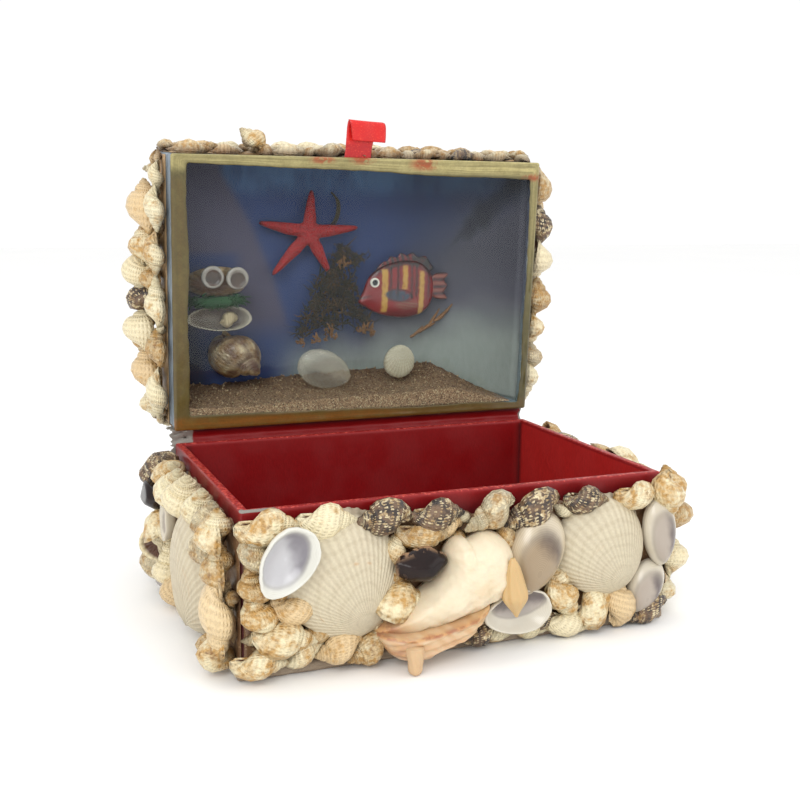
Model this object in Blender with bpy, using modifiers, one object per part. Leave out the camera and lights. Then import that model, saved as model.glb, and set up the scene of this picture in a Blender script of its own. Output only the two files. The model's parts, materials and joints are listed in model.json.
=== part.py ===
# Hinged keepsake box covered with sea shells, standing open. The lid is a shallow tray
# that holds a small underwater scene behind a clear window.
# The origin is under the middle of the base: +X to the right, +Y towards the hinge, +Z up.
import math
import random

import bmesh
import bpy
from mathutils import Matrix, Vector

# Driving dimensions, in metres
MM = 0.001
GAP = 0.3 * MM
BODY_WIDTH = 150 * MM
BASE_DEPTH = 101 * MM
BASE_TOP = 53 * MM
WALL = 3 * MM
FLOOR = 2 * MM
BOARD_WIDTH = 154.8 * MM
BOARD_DEPTH = 105.8 * MM
BOARD_THICK = 3.5 * MM
LID_LENGTH = 103 * MM
LID_HEIGHT = 30 * MM
LID_ROOF = 2 * MM
CLOSED_SEAT = 1.5 * MM
OPEN_LIFT = 4.9 * MM
OPEN_ANGLE = math.radians(86.6)
WINDOW_THICK = 0.25 * MM
TAPE_THICK = 0.3 * MM
GLUE = 1.2 * MM
STRIP_THICK = 0.4 * MM

# The hinge axis turns the closed edge of the lid onto its open edge
EDGE_Y = BASE_DEPTH / 2
CLOSED_Z = BASE_TOP + CLOSED_SEAT
HALF_RISE = (OPEN_LIFT - CLOSED_SEAT) / 2
AXIS_Y = EDGE_Y + HALF_RISE / math.tan(OPEN_ANGLE / 2)
AXIS_Z = CLOSED_Z + HALF_RISE
GLUE_TOP = GAP + GLUE
SHELL_FOOT = GLUE_TOP + GAP

# Small shells, in millimetres: along the wall, up it, turn of the tip in degrees,
# length, width, height
BASE_FRONT_SHELLS = [
    (-67, 47.5, 0, 18, 9, 7),
    (-49, 47.5, 0, 17, 9, 7),
    (-31, 48, 180, 17, 8, 7),
    (-12, 47.8, 0, 16, 8, 7),
    (6, 46.5, 205, 16, 9, 7),
    (21, 46, 200, 16, 10, 8),
    (41, 47.3, 0, 14, 8, 7),
    (60, 47.3, 0, 14, 8, 7),
    (70, 46, 90, 12, 8, 7),
    (-18, 41.5, 0, 16, 7, 6),
    (-29, 24, 0, 15, 8, 7),
    (-70, 39, 90, 12, 8, 7),
    (-70, 29, 100, 13, 9, 7),
    (-70, 19, 100, 13, 8, 7),
    (-60, 21, 150, 14, 8, 7),
    (-63, 13.5, 200, 15, 9, 7),
    (-68, 7.5, 160, 12, 6, 7),
    (-57, 9.5, 20, 12, 8, 6),
    (-45, 9.5, 0, 15, 8, 7),
    (-37, 8.5, 30, 10, 7, 6),
    (36, 8, 320, 13, 6, 6),
    (33, 14, 310, 16, 9, 8),
    (46, 11, 20, 15, 9, 7),
    (56, 9.5, 0, 14, 9, 7),
    (68, 7, 0, 12, 5, 6),
]
BASE_LEFT_SHELLS = [
    (-46, 42, 90, 12, 9, 8),
    (-39, 47.5, 20, 14, 9, 8),
    (-27, 47.5, 40, 12, 8, 7),
    (-13, 46, 50, 16, 9, 8),
    (3, 46.5, 50, 15, 9, 8),
    (22, 47, 50, 15, 8, 7),
    (42, 47.5, 0, 14, 8, 6),
    (-27, 27, 0, 14, 10, 9),
    (-44, 28, 90, 13, 9, 8),
    (-20, 15, 90, 17, 9, 8),
    (-44, 9, 20, 12, 9, 8),
    (-16, 7.5, 0, 12, 6, 6),
    (37, 39, 90, 13, 8, 8),
    (47, 36, 90, 13, 8, 7),
    (48, 22, 270, 15, 8, 7),
    (46, 9, 0, 14, 9, 8),
]
BASE_RIGHT_FRONT_SHELLS = [
    (-46, 47, 60, 13, 9, 7),
    (-46, 35, 100, 14, 10, 10),
    (-46, 20, 80, 15, 10, 9),
    (-45, 8.5, 120, 11, 8, 6),
]
LID_LEFT_SHELLS = [
    (-37, 14, 90, 16, 9, 8),
    (-22, 15, 70, 15, 9, 8),
    (-3, 13, 110, 15, 8, 8),
    (17, 13, 80, 15, 8, 8),
    (34, 14, 100, 16, 9, 8),
    (-30, 24, 0, 13, 8, 8),
    (28, 24, 0, 13, 8, 8),
    (44, 22, 20, 12, 8, 7),
]
LID_RIGHT_SHELLS = [
    (-40, 12, 80, 16, 9, 7),
    (-24, 14, 100, 15, 9, 7),
    (-9, 13, 90, 15, 9, 9),
    (6, 14, 70, 15, 9, 8),
    (20, 13, 110, 13, 9, 7),
    (34, 14, 90, 14, 9, 7),
    (-38, 24, 0, 13, 7, 7),
    (-10, 25, 180, 14, 7, 8),
    (15, 25, 0, 14, 7, 7),
    (40, 25, 180, 13, 7, 7),
]
LID_FRONT_SHELLS = [
    (-66, 9, 0, 14, 8, 6),
    (-31, 9, 0, 14, 8, 6),
    (-17, 8.5, 180, 13, 7, 5),
    (13, 8.5, 0, 14, 8, 5),
    (28, 8.5, 180, 14, 8, 5),
    (43, 9, 0, 14, 8, 6),
    (60, 9, 180, 14, 8, 6),
]

# Larger shells: name, kind, along, up, turn in degrees, length, width, height, how far
# they stand off the glue, material
BASE_FRONT_LARGE = [
    ("cockle_front_left", "cockle", -46, 30, 130, 40, 36, 10, 0, "white_shell"),
    ("cockle_front_right", "cockle", 48, 31, 120, 34, 34, 10, 0, "white_shell"),
    ("limpet_front", "dish", -61, 37.5, 50, 23, 17, 5, 6.2, "white_shell"),
    ("snail_front_dark", "pebble", -20, 32.5, 345, 16, 11, 7, 2.4, "dark_shell"),
    ("clam_front_upper", "dish", 25, 31, 75, 25, 17, 6, 3, "white_shell"),
    ("clam_front_lower", "dish", 16, 11.6, 0, 25, 13, 6, 0, "white_shell"),
    ("spindle_front", "spire", 14.6, 20, 270, 19, 8, 8, 8.5, "cream_shell"),
    ("clam_front_right_upper", "clam", 71.4, 34, 95, 22, 12, 6, 1.2, "white_shell"),
    ("clam_front_right_lower", "clam", 67, 15.5, 70, 16, 14, 6, 0, "white_shell"),
]
BASE_LEFT_LARGE = [
    ("cockle_left", "cockle", 9, 26, 100, 42, 38, 11, 0, "white_shell"),
    ("snail_left_dark", "pebble", -36, 37, 10, 14, 9, 8, 1, "dark_shell"),
    ("cone_left", "spire", -34, 20.4, 80, 15, 9, 9, 0, "cream_shell"),
    ("clam_left_holed", "dish", -15, 33, 80, 14, 11, 5, 3, "white_shell"),
    ("clam_left_back", "clam", -31, 8.2, 0, 12, 8, 6, 0, "white_shell"),
    ("spire_left", "spire", 37, 19, 270, 26, 12, 12, 0, "cream_shell"),
]
BASE_RIGHT_LARGE = [
    ("cockle_right", "cockle", 12, 27, 80, 40, 38, 10, 0, "white_shell"),
    ("spire_right", "spire", -23, 26, 270, 30, 13, 13, 0, "cream_shell"),
]
LID_LEFT_LARGE = [
    ("snail_lid_left_upper", "pebble", 9, 22.5, 80, 18, 11, 10, 0, "white_shell"),
    ("snail_lid_left_lower", "pebble", -14, 23, 100, 17, 11, 10, 0, "white_shell"),
]
LID_FRONT_LARGE = [("snail_lid_front", "pebble", -46, 10, 20, 13, 10, 8, 0, "cream_shell")]
LID_TOP_LARGE = [
    ("cockle_top_centre", "cockle", 0, -3, 90, 46, 44, 12, 0, "white_shell"),
    ("cockle_top_left", "cockle", -46, -2, 115, 34, 32, 9, 0, "white_shell"),
    ("cockle_top_right", "cockle", 46, -2, 65, 34, 32, 9, 0, "white_shell"),
]

# Body of the conch and its lip, as outlines on the front wall
CONCH_BODY = [
    (-34, 12),
    (-28, 16.5),
    (-20, 22.5),
    (-12, 29),
    (-9.5, 36),
    (-6, 39.8),
    (-2, 38.6),
    (3, 40.2),
    (8.5, 39),
    (13, 34),
    (14.2, 29.5),
    (12.2, 27),
    (13.2, 23),
    (9, 18.8),
    (0, 15.3),
    (-10, 12.4),
    (-20, 10.4),
    (-28, 10.2),
]
CONCH_LIP = [
    (-33, 12.4),
    (-29, 7.5),
    (-24, 4.6),
    (-16, 4),
    (-7, 4.8),
    (0, 8.2),
    (4, 13),
    (6.5, 18.6),
    (-2, 16.8),
    (-12, 14),
    (-24, 12.6),
]
SAND_TOP = [
    (-71.4, 12),
    (-50, 11),
    (-28, 13),
    (0, 14),
    (20, 14.5),
    (40, 16.5),
    (50, 12),
    (60, 7),
    (68, 3.9),
]
STARFISH_ARMS = [(6, 20.5), (87, 17), (169, 21), (227, 21.5), (298, 16.5)]
FISH_TAIL = [(40.4, 46.2), (46, 44), (44.4, 47.6), (46, 50.4), (44.4, 52.8), (46, 55.6), (40.2, 53)]
RIBBON = [(-9, 103.4), (2, 103.4), (3, 109), (7.2, 109.6), (7.6, 115.8), (-7, 117)]
PAPER = [(67, 57), (-74, 57), (-74, 40), (64, 40), (67.5, 44), (65, 48), (68.5, 52)]


def clear_scene():
    for existing in list(bpy.data.objects):
        bpy.data.objects.remove(existing, do_unlink=True)


def new_collection(name):
    collection = bpy.data.collections.new(name)
    bpy.context.scene.collection.children.link(collection)
    return collection


def new_material(name, colour, roughness, alpha=1.0):
    material = bpy.data.materials.new(name)
    material.use_nodes = True
    surface = material.node_tree.nodes["Principled BSDF"]
    surface.inputs["Base Color"].default_value = (*colour, 1)
    surface.inputs["Roughness"].default_value = roughness
    surface.inputs["Metallic"].default_value = 0.0
    surface.inputs["Alpha"].default_value = alpha
    return material


def link_piece(name, data, material):
    piece = bpy.data.objects.new(name, data)
    parts.objects.link(piece)
    data.materials.append(materials[material])
    return piece


def mesh_piece(name, bm, material):
    mesh = bpy.data.meshes.new(name)
    bm.to_mesh(mesh)
    bm.free()
    return link_piece(name, mesh, material)


def mesh_cutter(name, bm):
    mesh = bpy.data.meshes.new(name)
    bm.to_mesh(mesh)
    bm.free()
    cutter = bpy.data.objects.new(name, mesh)
    cutters.objects.link(cutter)
    cutter.hide_render = True
    cutter.display_type = "WIRE"
    return cutter


def add_boolean(target, other, operation, crossing=False):
    modifier = target.modifiers.new(operation.title(), "BOOLEAN")
    modifier.object = other
    modifier.operation = operation
    modifier.use_self = crossing


# A wall's own frame: x along it, y up it and z outwards, from the middle of its foot
def wall_frame(foot, along, up):
    along = Vector(along)
    up = Vector(up)
    frame = Matrix((along, up, along.cross(up))).transposed().to_4x4()
    frame.translation = Vector(foot)
    return frame


# Places a piece by a matrix. A hinged one is placed as in the closed box and hung on the hinge.
def place(piece, matrix, hinged=False):
    piece.location = matrix.translation
    piece.rotation_euler = matrix.to_euler()
    if hinged:
        piece.parent = lid_hinge
        piece.location = piece.location - Vector((0, AXIS_Y, AXIS_Z))
    return piece


def turned_flat(along, up, turn, level):
    shift = Matrix.Translation((along * MM, up * MM, level))
    return shift @ Matrix.Rotation(math.radians(turn), 4, "Z")


def box_mesh(size, centre):
    bm = bmesh.new()
    bmesh.ops.create_cube(bm, size=1, matrix=Matrix.Translation(centre) @ Matrix.Diagonal((*size, 1)))
    return bm


def add_to(target, source, matrix):
    source.transform(matrix)
    carrier = bpy.data.meshes.new("carrier")
    source.to_mesh(carrier)
    source.free()
    target.from_mesh(carrier)
    bpy.data.meshes.remove(carrier)


# Drops a wall from an open surface's border to the given level and closes it there
def close_below(bm, level):
    border = [edge for edge in bm.edges if edge.is_boundary]
    dropped = bmesh.ops.extrude_edge_only(bm, edges=border)["geom"]
    for item in dropped:
        if isinstance(item, bmesh.types.BMVert):
            item.co.z = level
    rim = [edge for edge in bm.edges if edge.is_boundary]
    bmesh.ops.holes_fill(bm, edges=rim, sides=0)
    bmesh.ops.recalc_face_normals(bm, faces=bm.faces)


# A dome over an outline in metres: each ring is a share of the outline and its height
def dome(outline, rings, level, centre=(0, 0)):
    bm = bmesh.new()
    top = bm.verts.new((*centre, rings[0][1]))
    last = None
    for share, height in rings[1:]:
        ring = []
        for x, y in outline:
            across = centre[0] + share * (x - centre[0])
            upward = centre[1] + share * (y - centre[1])
            ring.append(bm.verts.new((across, upward, height)))
        for side in range(len(ring)):
            after = (side + 1) % len(ring)
            if last:
                bm.faces.new((last[side], ring[side], ring[after], last[after]))
            else:
                bm.faces.new((top, ring[side], ring[after]))
        last = ring
    close_below(bm, level)
    return bm


# Egg-shaped outline with its narrow end at +X; with no taper it is an oval
def egg_outline(length, width, sides, taper=0.0):
    outline = []
    for side in range(sides):
        angle = math.tau * side / sides
        across = 0.5 * width * math.sin(angle) * (1 - taper * math.cos(angle))
        outline.append((0.5 * length * math.cos(angle) * MM, across * MM))
    return outline


# One small shell as a low dome whose foot lies inside the glue
def small_shell(length, width, height):
    top = GLUE_TOP + height * MM
    shoulder = GLUE_TOP + 0.5 * height * MM
    rings = [(0, top), (0.86, shoulder), (1.0, GLUE_TOP - 0.5 * MM)]
    return dome(egg_outline(length, width, 6, 0.3), rings, GAP + 0.3 * MM)


# The room that a larger shell takes through everything outside the glue
def room_for(along, up, turn, length, width, spare=1.2):
    outline = egg_outline(length + spare, width + spare, 16)
    room = dome(outline, [(0, 40 * MM), (1, 40 * MM)], GLUE_TOP + 0.1 * MM)
    room.transform(turned_flat(along, up, turn, 0))
    return room


# Shells glued to a wall: a thin bed of glue joined with every small shell on it, cut back
# where the larger shells sit
def shell_crust(name, frame, bed, shells, large=(), extra_rooms=(), hinged=False):
    left, right, low, high = (value * MM for value in bed)
    size = (right - left, high - low, GLUE)
    centre = ((left + right) / 2, (low + high) / 2, GAP + GLUE / 2)
    crust = mesh_piece(name, box_mesh(size, centre), "cream_shell")
    bumps = bmesh.new()
    for along, up, turn, length, width, height in shells:
        add_to(bumps, small_shell(length, width, height), turned_flat(along, up, turn, 0))
    helpers = [mesh_cutter(name + "_bumps", bumps)]
    add_boolean(crust, helpers[0], "UNION", crossing=True)
    rooms = [room_for(*item[2:7]) for item in large] + list(extra_rooms)
    if rooms:
        joined = bmesh.new()
        for room in rooms:
            add_to(joined, room, Matrix())
        helpers.append(mesh_cutter(name + "_rooms", joined))
        add_boolean(crust, helpers[1], "DIFFERENCE", crossing=True)
    for item in [crust, *helpers]:
        place(item, frame, hinged)


# Rows of small shells for a plain wall, turned and sized a little unevenly, leaving out
# those that would lie under a larger shell
def shell_rows(columns, rows, length, width, height, large=(), seed=1):
    spread = random.Random(seed)
    shells = []
    for row, up in enumerate(rows):
        for column in columns:
            along = column + (4 if row % 2 else 0) + spread.uniform(-1, 1)
            turn = spread.choice((0, 180)) + spread.uniform(-25, 25)
            size = spread.uniform(0.92, 1.05)
            hidden = any(
                math.hypot((along - item[2]) / (item[5] / 2 + 2), (up - item[3]) / (item[6] / 2 + 2)) < 1
                for item in large
            )
            if not hidden:
                shells.append((along, up, turn, length * size, width * size, height * size))
    return shells


# A ribbed fan shell centred on its length: rays run from the beak at -X to an oval margin
def fan_mesh(length, width, height, ribs, steps=4, edge=0.9):
    bm = bmesh.new()
    rays = 2 * ribs + 1
    beak = bm.verts.new((-0.5 * length * MM, 0, edge * MM))
    last = None
    for ray in range(rays):
        turn = math.radians(24 + 312 * ray / (rays - 1))
        reach_x = 0.5 * length * (1 - math.cos(turn))
        reach_y = -0.5 * width * math.sin(turn)
        fullness = math.sin(turn / 2) ** 0.35 * (1.06 if ray % 2 else 0.94)
        line = []
        for step in range(1, steps + 1):
            share = step / steps
            rise = math.sin(math.pi * share**0.72) ** 0.85 if step < steps else 0
            place_x = share * reach_x - 0.5 * length
            z = edge + height * fullness * rise
            line.append(bm.verts.new((place_x * MM, share * reach_y * MM, z * MM)))
        if last:
            bm.faces.new((beak, last[0], line[0]))
            for inner in range(steps - 1):
                bm.faces.new((last[inner], last[inner + 1], line[inner + 1], line[inner]))
        last = line
    close_below(bm, 0)
    return bm


# A turned solid about Z from (radius, height) pairs in millimetres, top to bottom
def turned_piece(name, profile, steps, material):
    bm = bmesh.new()
    points = [bm.verts.new((radius * MM, 0, height * MM)) for radius, height in profile]
    for upper, lower in zip(points, points[1:]):
        bm.edges.new((upper, lower))
    piece = mesh_piece(name, bm, material)
    screw = piece.modifiers.new("Screw", "SCREW")
    screw.steps = steps
    screw.render_steps = steps
    screw.use_merge_vertices = True
    screw.merge_threshold = 0.00001
    return piece


# An open dish that shows its hollow inside
def dish_piece(name, length, width, height, material):
    radius = length / 2
    profile = [
        (0, 0.42 * height),
        (0.5 * radius, 0.46 * height),
        (0.8 * radius, 0.75 * height),
        (0.95 * radius, height),
        (radius, 0.94 * height),
        (0.86 * radius, 0.45 * height),
        (0.5 * radius, 0),
        (0, 0),
    ]
    piece = turned_piece(name, profile, 12, material)
    piece.scale = (1, width / length, 1)
    return piece


# A spired snail along its own Z: three whorls swell from the tip, then taper to the mouth
def spire_piece(name, length, width, material):
    half = width / 2
    half_length = length / 2
    profile = [(0, half_length)]
    for share in (0.3, 0.55, 0.8):
        level = half_length - 0.62 * length * share
        profile.append((share * half, level))
        profile.append((0.8 * share * half, level - 0.03 * length))
    profile.append((half, -0.1 * half_length))
    profile.append((0.8 * half, -0.55 * half_length))
    profile.append((0.25 * half, -0.96 * half_length))
    profile.append((0, -half_length))
    return turned_piece(name, profile, 8, material)


# One larger shell on a wall
def large_shell(frame, shell, hinged=False):
    name, kind, along, up, turn, length, width, height, off, material = shell
    level = SHELL_FOOT + off * MM
    matrix = frame @ turned_flat(along, up, turn, level)
    if kind == "cockle":
        piece = mesh_piece(name, fan_mesh(length, width, height, ribs=10), material)
    elif kind == "clam":
        piece = mesh_piece(name, fan_mesh(length, width, height, ribs=6, steps=3), material)
    elif kind == "pebble":
        rings = [(0, height * MM), (0.55, 0.86 * height * MM), (1, 0.3 * height * MM)]
        piece = mesh_piece(name, dome(egg_outline(length, width, 10, 0.25), rings, 0), material)
    elif kind == "dish":
        piece = dish_piece(name, length, width, height, material)
    else:
        piece = spire_piece(name, length, width, material)
        lying = Matrix.Translation((0, 0, width / 2 * MM)) @ Matrix.Rotation(math.radians(90), 4, "Y")
        matrix = matrix @ lying
    place(piece, matrix, hinged)


# A flat outline in millimetres, with an optional hole, given a thickness and centred on z = 0
def flat_piece(name, outlines, thick, material):
    curve = bpy.data.curves.new(name, "CURVE")
    curve.dimensions = "2D"
    curve.fill_mode = "BOTH"
    curve.extrude = thick / 2
    for outline in outlines:
        spline = curve.splines.new("POLY")
        spline.points.add(len(outline) - 1)
        for point, (x, y) in zip(spline.points, outline):
            point.co = (x * MM, y * MM, 0, 1)
        spline.use_cyclic_u = True
    return link_piece(name, curve, material)


def rectangle(left, right, low, high):
    return [(left, low), (right, low), (right, high), (left, high)]


# An open tray: a box hollowed from one side, whose walls and floor keep their thickness
def tray_piece(name, size, centre, floor, opens_down, material):
    tray = mesh_piece(name, box_mesh(size, centre), material)
    hollow = (size[0] - 2 * WALL, size[1] - 2 * WALL, size[2])
    shift = -floor if opens_down else floor
    middle = (centre[0], centre[1], centre[2] + shift)
    cutter = mesh_cutter(name + "_hollow", box_mesh(hollow, middle))
    add_boolean(tray, cutter, "DIFFERENCE")
    return tray, cutter


def build_base():
    board_size = (BOARD_WIDTH, BOARD_DEPTH, BOARD_THICK)
    mesh_piece("bottom_board", box_mesh(board_size, (0, 0, BOARD_THICK / 2)), "grey_board")
    tray_foot = BOARD_THICK + GAP
    height = BASE_TOP - tray_foot
    centre = (0, 0, tray_foot + height / 2)
    tray_piece("base_tray", (BODY_WIDTH, BASE_DEPTH, height), centre, FLOOR, False, "red_paper")
    paper = flat_piece("hinge_paper", [PAPER], STRIP_THICK, "red_paper")
    back = wall_frame((0, EDGE_Y, 0), (-1, 0, 0), (0, 0, 1))
    place(paper, back @ Matrix.Translation((0, 0, GAP + STRIP_THICK / 2)))


# The big smooth conch with its knobbed shoulder, its flared lip and the blunt end of the lip
def build_conch(front):
    body_outline = [(x * MM, y * MM) for x, y in CONCH_BODY]
    body_rings = [(0, 14.5 * MM), (0.45, 13 * MM), (0.8, 9 * MM), (1, 2 * MM)]
    conch = mesh_piece("conch_front", dome(body_outline, body_rings, 0, (0, 27 * MM)), "cream_shell")
    lip_outline = [(x * MM, y * MM) for x, y in CONCH_LIP]
    lip_rings = [(0, 15 * MM), (0.6, 14 * MM), (1, 8 * MM)]
    lip = dome(lip_outline, lip_rings, 0, (-12 * MM, 9 * MM))
    stub = bmesh.new()
    bmesh.ops.create_uvsphere(stub, u_segments=8, v_segments=6, radius=1)
    stub_place = Matrix.Translation((-20 * MM, 3.7 * MM, 12 * MM)) @ Matrix.Diagonal((0.0025, 0.0035, 0.0055, 1))
    add_to(lip, stub, stub_place)
    lip_cutter = mesh_cutter("conch_front_lip", lip)
    add_boolean(conch, lip_cutter, "UNION", crossing=True)
    matrix = front @ Matrix.Translation((0, 0, SHELL_FOOT))
    place(conch, matrix)
    place(lip_cutter, matrix)


def conch_room():
    outline = [(x * MM, y * MM) for x, y in CONCH_BODY[:13]]
    outline += [(6.6 * MM, 15.5 * MM), (4.6 * MM, 11.5 * MM), (0.6 * MM, 7 * MM)]
    outline += [(-7 * MM, 3.2 * MM), (-16 * MM, 2 * MM), (-24 * MM, 2.8 * MM), (-30 * MM, 6.6 * MM)]
    centre = (-6 * MM, 22 * MM)
    wider = [(centre[0] + 1.04 * (x - centre[0]), centre[1] + 1.04 * (y - centre[1])) for x, y in outline]
    return dome(wider, [(0, 40 * MM), (1, 40 * MM)], GLUE_TOP + 0.1 * MM, centre)


def build_base_shells():
    side = BODY_WIDTH / 2
    front = wall_frame((0, -EDGE_Y, 0), (1, 0, 0), (0, 0, 1))
    left = wall_frame((-side, 0, 0), (0, -1, 0), (0, 0, 1))
    right = wall_frame((side, 0, 0), (0, 1, 0), (0, 0, 1))
    back = wall_frame((0, EDGE_Y + GAP + STRIP_THICK, 0), (-1, 0, 0), (0, 0, 1))
    shell_crust("front_shells", front, (-74.8, 74.8, 3.9, 50), BASE_FRONT_SHELLS, BASE_FRONT_LARGE, [conch_room()])
    shell_crust("left_shells", left, (-50, 50, 3.9, 50), BASE_LEFT_SHELLS, BASE_LEFT_LARGE)
    right_rows = shell_rows(range(-34, 46, 16), (10, 28, 45), 15, 9, 7, BASE_RIGHT_LARGE, seed=3)
    right_shells = BASE_RIGHT_FRONT_SHELLS + right_rows
    shell_crust("right_shells", right, (-50, 50, 3.9, 50), right_shells, BASE_RIGHT_LARGE)
    back_shells = shell_rows(range(-64, 66, 16), (11, 23, 35), 15, 9, 6, seed=5)
    shell_crust("back_shells", back, (-74.8, 74.8, 3.9, 42), back_shells)
    build_conch(front)
    for shell in BASE_FRONT_LARGE:
        large_shell(front, shell)
    for shell in BASE_LEFT_LARGE:
        large_shell(left, shell)
    for shell in BASE_RIGHT_LARGE:
        large_shell(right, shell)


def build_lid():
    centre = (0, EDGE_Y - LID_LENGTH / 2, CLOSED_Z + LID_HEIGHT / 2)
    size = (BODY_WIDTH, LID_LENGTH, LID_HEIGHT)
    for item in tray_piece("lid_tray", size, centre, LID_ROOF, True, "blue_grey_paint"):
        place(item, Matrix(), hinged=True)
    half = BODY_WIDTH / MM / 2 - 0.3
    length = LID_LENGTH / MM
    sheet = rectangle(-half, half, 0.3, length - 0.3)
    opening = rectangle(-69, 71, 5, length - 5.5)
    window = flat_piece("lid_window", [sheet], WINDOW_THICK, "clear_plastic")
    rim_level = LID_HEIGHT - LID_ROOF
    window_level = rim_level + GAP + WINDOW_THICK / 2
    place(window, scene_frame @ Matrix.Translation((0, 0, window_level)), hinged=True)
    tape = flat_piece("window_tape", [sheet, opening], TAPE_THICK, "olive_tape")
    tape_level = rim_level + 2 * GAP + WINDOW_THICK + TAPE_THICK / 2
    place(tape, scene_frame @ Matrix.Translation((0, 0, tape_level)), hinged=True)
    ribbon = flat_piece("pull_ribbon", [RIBBON], 0.8 * MM, "red_ribbon")
    place(ribbon, scene_frame @ Matrix.Translation((0, 0, rim_level - 0.5 * MM)), hinged=True)


def build_lid_shells():
    side = BODY_WIDTH / 2
    middle = EDGE_Y - LID_LENGTH / 2
    left = wall_frame((-side, middle, CLOSED_Z), (0, -1, 0), (0, 0, 1))
    right = wall_frame((side, middle, CLOSED_Z), (0, 1, 0), (0, 0, 1))
    front = wall_frame((0, EDGE_Y - LID_LENGTH, CLOSED_Z), (1, 0, 0), (0, 0, 1))
    back = wall_frame((0, EDGE_Y, CLOSED_Z), (-1, 0, 0), (0, 0, 1))
    top = wall_frame((0, middle, CLOSED_Z + LID_HEIGHT), (1, 0, 0), (0, 1, 0))
    side_bed = (-51, 51, 9, 29.7)
    shell_crust("lid_left_shells", left, side_bed, LID_LEFT_SHELLS, LID_LEFT_LARGE, hinged=True)
    shell_crust("lid_right_shells", right, side_bed, LID_RIGHT_SHELLS, hinged=True)
    upper_row = shell_rows(range(-60, 64, 20), (21,), 16, 9, 6, seed=7)
    front_shells = LID_FRONT_SHELLS + upper_row
    shell_crust("lid_front_shells", front, (-74.8, 74.8, 5, 29.7), front_shells, LID_FRONT_LARGE, hinged=True)
    back_row = shell_rows(range(-60, 64, 17), (18,), 15, 10, 5, seed=9)
    shell_crust("lid_back_shells", back, (-74.8, 74.8, 9, 29.7), back_row, hinged=True)
    top_shells = shell_rows(range(-64, 66, 18), (-43, -25, 25, 43), 16, 11, 6, LID_TOP_LARGE, seed=11)
    shell_crust("lid_top_shells", top, (-74.5, 74.5, -51, 51), top_shells, LID_TOP_LARGE, hinged=True)
    for shell in LID_LEFT_LARGE:
        large_shell(left, shell, hinged=True)
    for shell in LID_FRONT_LARGE:
        large_shell(front, shell, hinged=True)
    for shell in LID_TOP_LARGE:
        large_shell(top, shell, hinged=True)


# A piece of the little scene, at a place on the back card and a level in front of it
def in_scene(piece, along=0.0, up=0.0, turn=0.0, level=0.0):
    return place(piece, scene_frame @ turned_flat(along, up, turn, level * MM), hinged=True)


def raised_piece(name, outline, height, material):
    metres = [(x * MM, y * MM) for x, y in outline]
    rings = [(0, height * MM), (0.6, 0.8 * height * MM), (1, 0.35 * height * MM)]
    return mesh_piece(name, dome(metres, rings, 0), material)


def oval_piece(name, length, width, height, material):
    outline = [(x / MM, y / MM) for x, y in egg_outline(length, width, 12)]
    return raised_piece(name, outline, height, material)


def disc_piece(name, radius, thick, material):
    bm = bmesh.new()
    bmesh.ops.create_cone(
        bm, cap_ends=True, segments=14, radius1=radius * MM, radius2=radius * MM, depth=thick * MM
    )
    return mesh_piece(name, bm, material)


# The sand slopes down from the back card towards the window
def build_sand():
    low = 3.4
    bm = bmesh.new()
    outline = SAND_TOP + [(68, low), (-71.4, low)]
    back = [bm.verts.new((x * MM, y * MM, 1.2 * MM)) for x, y in outline]
    front = [bm.verts.new((x * MM, (low + 0.5 * (y - low)) * MM, 27.6 * MM)) for x, y in outline]
    front[SAND_TOP.index(SAND_TOP[-1])].co.y = (low + 0.3) * MM
    bm.faces.new(back)
    bm.faces.new(front)
    for index in range(len(outline)):
        after = (index + 1) % len(outline)
        bm.faces.new((back[index], back[after], front[after], front[index]))
    bmesh.ops.recalc_face_normals(bm, faces=bm.faces)
    in_scene(mesh_piece("sand_bed", bm, "sand"))


def build_starfish():
    outline = []
    for index, (angle, reach) in enumerate(STARFISH_ARMS):
        after = STARFISH_ARMS[(index + 1) % len(STARFISH_ARMS)][0]
        after += 360 if after < angle else 0
        notch = math.radians((angle + after) / 2)
        for turn, radius in ((angle - 4, reach), (angle + 4, reach)):
            outline.append((radius * math.cos(math.radians(turn)), radius * math.sin(math.radians(turn))))
        outline.append((5.6 * math.cos(notch), 5.6 * math.sin(notch)))
    in_scene(raised_piece("starfish", outline, 3.2, "starfish_red"), -16, 73, 0, 4.4)


def build_fish():
    outline = []
    for step in range(15):
        angle = math.radians(18 + 324 * step / 14)
        outline.append((23.5 + 16.5 * math.cos(angle), 49.5 + 12.5 * math.sin(angle)))
    outline += FISH_TAIL[:]
    in_scene(flat_piece("fish", [outline], 2.2 * MM, "fish_red"), level=6)
    in_scene(disc_piece("fish_eye", 2, 0.9, "white_plastic"), 12, 52.5, 0, 7.9)


def build_weed():
    spread = random.Random(4)
    outline = []
    for side in range(14):
        angle = math.tau * side / 14
        reach = spread.uniform(0.82, 1.1)
        outline.append((10.5 * reach * math.cos(angle), 20 * reach * math.sin(angle)))
    in_scene(raised_piece("dried_weed", outline, 2.6, "weed_brown"), -4, 48, 0, 1.2)


# A figure put together from a snail, two valves, a band of moss and two loose-pupil eyes
def build_critter():
    in_scene(oval_piece("critter_body", 18, 18.5, 14, "brown_snail"), -50, 24.8, 0, 8)
    in_scene(oval_piece("critter_jaw", 25, 9, 10, "white_shell"), -55, 39.5, 0, 9)
    in_scene(oval_piece("critter_moss", 22, 4.6, 8, "moss_green"), -56, 46.8, 0, 10)
    in_scene(oval_piece("critter_head", 21, 7.4, 6, "brown_snail"), -56, 53.2, 0, 10)
    in_scene(disc_piece("critter_eye_left", 4, 1.6, "white_plastic"), -58, 57, 0, 17.4)
    in_scene(disc_piece("critter_eye_right", 4, 1.6, "white_plastic"), -48.5, 56.5, 0, 17.4)


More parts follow.
